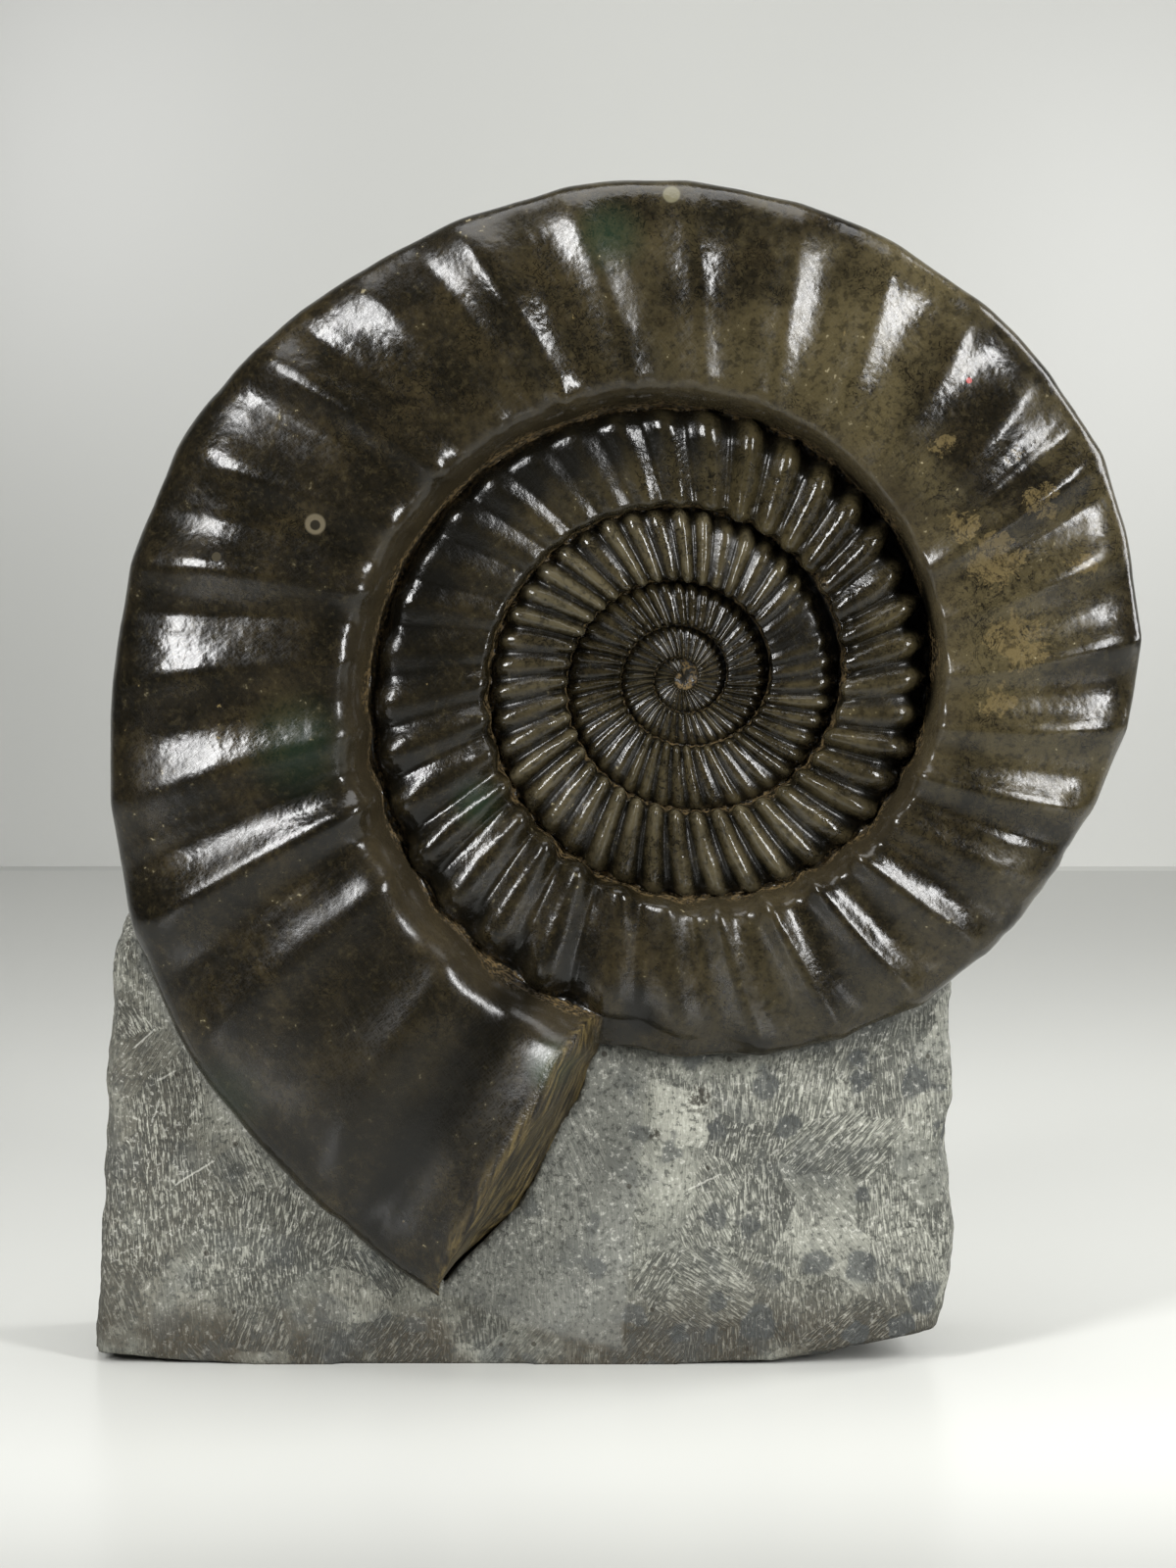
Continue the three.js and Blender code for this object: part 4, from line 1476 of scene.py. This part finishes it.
@dataclass
class MatrixBlock:
    """The stone: the solid's own faces remeshed finely, then roughened as hewn and scraped limestone."""

    axis: Vector
    coil: Coil
    node: str = "matrix"
    bond: float = 3.2
    past_mouth: float = 8.0
    before_break: float = 2.5
    beside_break: float = 16.0
    outside_break: float = 0.1
    easing_rounds: int = 4
    easing_share: float = 0.5
    groove: float = 4.0
    grain: float = 0.0021
    underside: float = 0.004
    waves: tuple[Point, ...] = ((38.0, 2.4, 1.4), (120.0, 1.0, 0.5), (320.0, 0.25, 0.0))
    sunk: float = 0.4
    pocket_start: float = 4.0
    pocket_run: float = 5.0
    facing_start: float = 0.3
    facing_run: float = 0.5

    def build(self) -> bpy.types.Object:
        """Builds the block.

        Returns:
            The block's object.
        """
        source = bpy.data.objects[self.node]
        piece = bpy.data.objects.new("matrix_block", source.data.copy())
        bpy.context.collection.objects.link(piece)
        piece.data.materials.clear()
        remesh = piece.modifiers.new("fine", "REMESH")
        remesh.mode = "VOXEL"
        remesh.voxel_size = self.grain
        bpy.context.view_layer.update()
        evaluated = piece.evaluated_get(bpy.context.evaluated_depsgraph_get())
        fine = bpy.data.meshes.new_from_object(evaluated)
        piece.modifiers.clear()
        piece.data = fine
        self.roughen(fine)
        fine.shade_smooth()
        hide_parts(self.node)
        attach(piece, "root")
        return piece

    def roughen(self, mesh: bpy.types.Mesh) -> None:
        """Moves the vertices along their normals: long hewn waves, small breaks and scraped ripples.

        Args:
            mesh: The mesh.
        """
        count = len(mesh.vertices)
        places = np.empty(count * 3)
        normals = np.empty(count * 3)
        mesh.vertices.foreach_get("co", places)
        mesh.vertices.foreach_get("normal", normals)
        places, normals = places.reshape(-1, 3), normals.reshape(-1, 3)
        low, high = (np.array(corner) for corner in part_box(self.node))
        lifted = ease((places[:, 2] - low[2]) / self.underside)
        move = np.empty(count)
        for i, spot in enumerate(places):
            at = Vector(spot)
            faced = max(0.0, -normals[i, 1])
            heights = (noise.noise(at * rate) * (height - calm * faced) for rate, height, calm in self.waves)
            move[i] = sum(heights) - self.sunk
        pocket = self.pocket_wall(places, normals)
        move += self.bond * pocket
        moved = places + normals * (move * MM * lifted)[:, None]
        moved = np.clip(self.closed_up(self.eased(mesh, moved, pocket)), low, high)
        mesh.vertices.foreach_set("co", moved.ravel())
        # The groove mask marks the band along the shell's front edge, which the limestone paints smooth and
        # darker as painted shade.
        layer = mesh.attributes.new("groove", "FLOAT", "POINT")
        groove = 1.0 - ease((self.from_shell(places)[0] - self.groove / 3.0) / self.groove)
        groove = groove * (places[:, 1] < self.axis.y)
        layer.data.foreach_set("value", groove.astype(np.float32))
        mesh.update()

    def eased(self, mesh: bpy.types.Mesh, places: Array, share: Array) -> Array:
        """Draws vertices towards the mean of their neighbours.

        Args:
            mesh: The mesh, for its edges.
            places: The vertices' positions.
            share: How strongly each is drawn, 0 to 1.

        Returns:
            The new positions.
        """
        edges = np.empty(len(mesh.edges) * 2, dtype=np.int64)
        mesh.edges.foreach_get("vertices", edges)
        first, second = edges.reshape(-1, 2).T
        count = np.bincount(edges, minlength=len(places))[:, None]
        for _ in range(self.easing_rounds):
            total = np.zeros(places.shape)
            np.add.at(total, first, places[second])
            np.add.at(total, second, places[first])
            places = blend(places, total / count, self.easing_share * np.sqrt(share)[:, None])
        return places

    def closed_up(self, places: Array) -> Array:
        """Turns the stone beside the mouth up to the break where that narrows.

        Args:
            places: The vertices' positions.

        Returns:
            The new positions.
        """
        coil = self.coil
        x, depth, z = ((places - np.array(self.axis)) / MM).T
        inner, rim = (float(line(np.array(coil.mouth))) for line in (coil.seam, coil.rim))
        across = (np.hypot(x, z) - inner) / (rim - inner)
        share = np.clip(depth / coil.half_thickness(np.array(coil.mouth)), -1.0, 1.0)
        angle = wrapped(np.degrees(np.arctan2(z, x)) - coil.mouth)
        past = angle - coil.mouth_tilt * across - coil.mouth_slope * (1.0 + share)
        beside = ease((past + self.before_break) / self.before_break) * (1.0 - ease(past / self.beside_break))
        beside = beside * (1.0 - ease((across - 1.0) / self.outside_break))
        turn = -np.radians(coil.retreat(np.minimum(across, 1.0), share) * beside)
        right, up = x * np.cos(turn) - z * np.sin(turn), x * np.sin(turn) + z * np.cos(turn)
        return np.stack([right, depth, up], axis=1) * MM + np.array(self.axis)

    def pocket_wall(self, places: Array, normals: Array) -> Array:
        """Finds the wall that holds the fossil.

        Args:
            places: The vertices' positions.
            normals: Their normals.

        Returns:
            How far each vertex belongs to it, 0 to 1.
        """
        off = np.stack(self.from_shell(places))
        near, beside = 1.0 - ease((off - self.pocket_start) / self.pocket_run)
        return near * beside * (1.0 - ease((-normals[:, 1] - self.facing_start) / self.facing_run))

    def from_shell(self, places: Array) -> tuple[Array, Array]:
        """Measures from the fossil's outer edge, in millimetres.

        Args:
            places: The positions to measure at.

        Returns:
            How far they lie outside the edge, and how far beyond the flanks.
        """
        x, depth, z = ((places - np.array(self.axis)) / MM).T
        first = self.coil.free_from + self.past_mouth
        angle = np.degrees(np.arctan2(z, x)) - self.coil.rib_sweep
        angle = np.mod(angle - first, TURN) + first
        return np.hypot(x, z) - self.coil.rim(angle), np.abs(depth) - self.coil.half_thickness(angle)

    def dress(self, piece: bpy.types.Object, effects: SharedEffects) -> None:
        """Puts the limestone finish on the block."""
        low, high = (Vector(corner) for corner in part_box(self.node))
        piece.data.materials.append(TooledLimestone().build(effects, self.axis, low, high))


@dataclass(frozen=True)
class SoftLight:
    """A square studio light: its place, what it points at, its size and its power."""

    name: str
    place: Point
    aim: Point
    width: float
    height: float
    watts: float

    def build(self) -> None:
        """Adds the light."""
        data = bpy.data.lights.new(self.name, "AREA")
        data.shape = "RECTANGLE"
        data.size, data.size_y, data.energy = self.width, self.height, self.watts
        lamp = bpy.data.objects.new(self.name, data)
        lamp.location = self.place
        lamp.rotation_euler = (Vector(self.aim) - Vector(self.place)).to_track_quat("-Z", "Y").to_euler()
        bpy.context.collection.objects.link(lamp)


@dataclass
class Studio:
    """Pale floor and backdrop with painted shade to the left and front, soft lights and the camera at the
    photograph's angle.
    """

    image_height: float = 1600.0
    pixels_per_metre: float = 1.0 / 0.000415
    sensor: float = 24.0
    distance: float = 1.6
    elevation: float = 4.0
    picture_right: float = -0.040
    picture_up: float = 0.248
    back: float = 2.3
    front: float = -3.0
    half_width: float = 5.0
    wall_height: float = 4.0
    wall_margin: float = 0.05
    # Painted shade: the backdrop darkens to the left and the floor to the front, under the lights.
    shaded_wall_left: Colour = (0.50, 0.505, 0.48)
    wall_right: Colour = (0.76, 0.765, 0.73)
    wall_shade_fade: tuple[float, float] = (-0.7, 0.15)
    shaded_floor_front: Colour = (0.10, 0.10, 0.095)
    floor_back: Colour = (0.60, 0.605, 0.573)
    floor_shade_fade: tuple[float, float] = (-0.62, -0.12)
    floor_roughness: float = 0.3
    room_light: Colour = (1.0, 1.0, 0.98)
    room_strength: float = 0.09
    lights: tuple[SoftLight, ...] = (
        SoftLight("left_window", (-1.05, -1.25, 1.05), (0.0, 0.0, 0.28), 0.34, 0.9, 38.0),
        SoftLight("right_window", (1.15, -1.2, 0.8), (0.05, 0.0, 0.3), 0.3, 0.9, 30.0),
        SoftLight("right_rim", (1.2, 0.4, 0.85), (0.1, 0.0, 0.35), 0.4, 1.2, 13.0),
        SoftLight("ceiling", (0.0, -0.1, 2.0), (0.0, 0.0, 0.2), 1.6, 1.2, 26.0),
    )

    def build(self, axis: Vector) -> None:
        """Builds the stage.

        Args:
            axis: The coil axis's point, which the camera is placed by.
        """
        self._floor()
        self._world()
        for light in self.lights:
            light.build()
        self._camera(axis)

    def _floor(self) -> None:
        """Adds the floor and the backdrop in one sheet, with painted shade that darkens the backdrop to the
        left and the floor to the front.
        """
        profile = [(self.front, 0.0), (self.back, 0.0), (self.back, self.wall_height)]
        points = [(x, y, z) for y, z in profile for x in (-self.half_width, self.half_width)]
        faces = [(2 * i, 2 * i + 1, 2 * i + 3, 2 * i + 2) for i in range(len(profile) - 1)]
        mesh = bpy.data.meshes.new("studio_floor")
        mesh.from_pydata(points, [], faces)
        floor = bpy.data.objects.new("studio_floor", mesh)
        bpy.context.collection.objects.link(floor)
        material, sketch, shader = new_material("studio_floor")
        x, y, _ = sketch.parted(sketch.place())
        wall = sketch.math("GREATER_THAN", y, self.back - self.wall_margin)
        wall_colour = sketch.mix(sketch.span(x, *self.wall_shade_fade), self.shaded_wall_left, self.wall_right)
        floor_colour = sketch.mix(sketch.span(y, *self.floor_shade_fade), self.shaded_floor_front, self.floor_back)
        sketch.feed(shader.inputs["Base Color"], sketch.mix(wall, floor_colour, wall_colour))
        shader.inputs["Roughness"].default_value = self.floor_roughness
        mesh.materials.append(material)

    def _world(self) -> None:
        """Sets the dim even light of the room."""
        world = bpy.data.worlds.new("room")
        bpy.context.scene.world = world
        world.use_nodes = True
        background = next(n for n in world.node_tree.nodes if n.type == "BACKGROUND")
        background.inputs["Color"].default_value = (*self.room_light, 1.0)
        background.inputs["Strength"].default_value = self.room_strength
        bpy.context.scene.view_settings.view_transform = "Standard"

    def _camera(self, axis: Vector) -> None:
        """Adds the camera.

        Args:
            axis: The coil axis's point.
        """
        data = bpy.data.cameras.new("camera")
        data.sensor_fit = "VERTICAL"
        data.sensor_height = self.sensor
        data.lens = self.distance * self.pixels_per_metre / self.image_height * self.sensor
        camera = bpy.data.objects.new("camera", data)
        tilt = math.radians(self.elevation)
        target = Vector((axis.x + self.picture_right, axis.y, self.picture_up))
        camera.location = target + self.distance * Vector((0.0, -math.cos(tilt), math.sin(tilt)))
        camera.rotation_euler = Euler((math.radians(90.0) - tilt, 0.0, 0.0))
        bpy.context.collection.objects.link(camera)
        bpy.context.scene.camera = camera


def main() -> None:
    """Builds the specimen and its stage."""
    logging.basicConfig(level=logging.INFO, format="%(name)s: %(message)s")
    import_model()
    effects = SharedEffects()
    shell = AmmoniteShell()
    shell_piece = shell.build()
    shell.dress(shell_piece, effects)
    LOG.info("shell with %d faces", len(shell_piece.data.polygons))
    block = MatrixBlock(shell.axis, shell.coil)
    block_piece = block.build()
    block.dress(block_piece, effects)
    LOG.info("block with %d faces", len(block_piece.data.polygons))
    Studio().build(shell.axis)


if __name__ == "__main__":
    main()
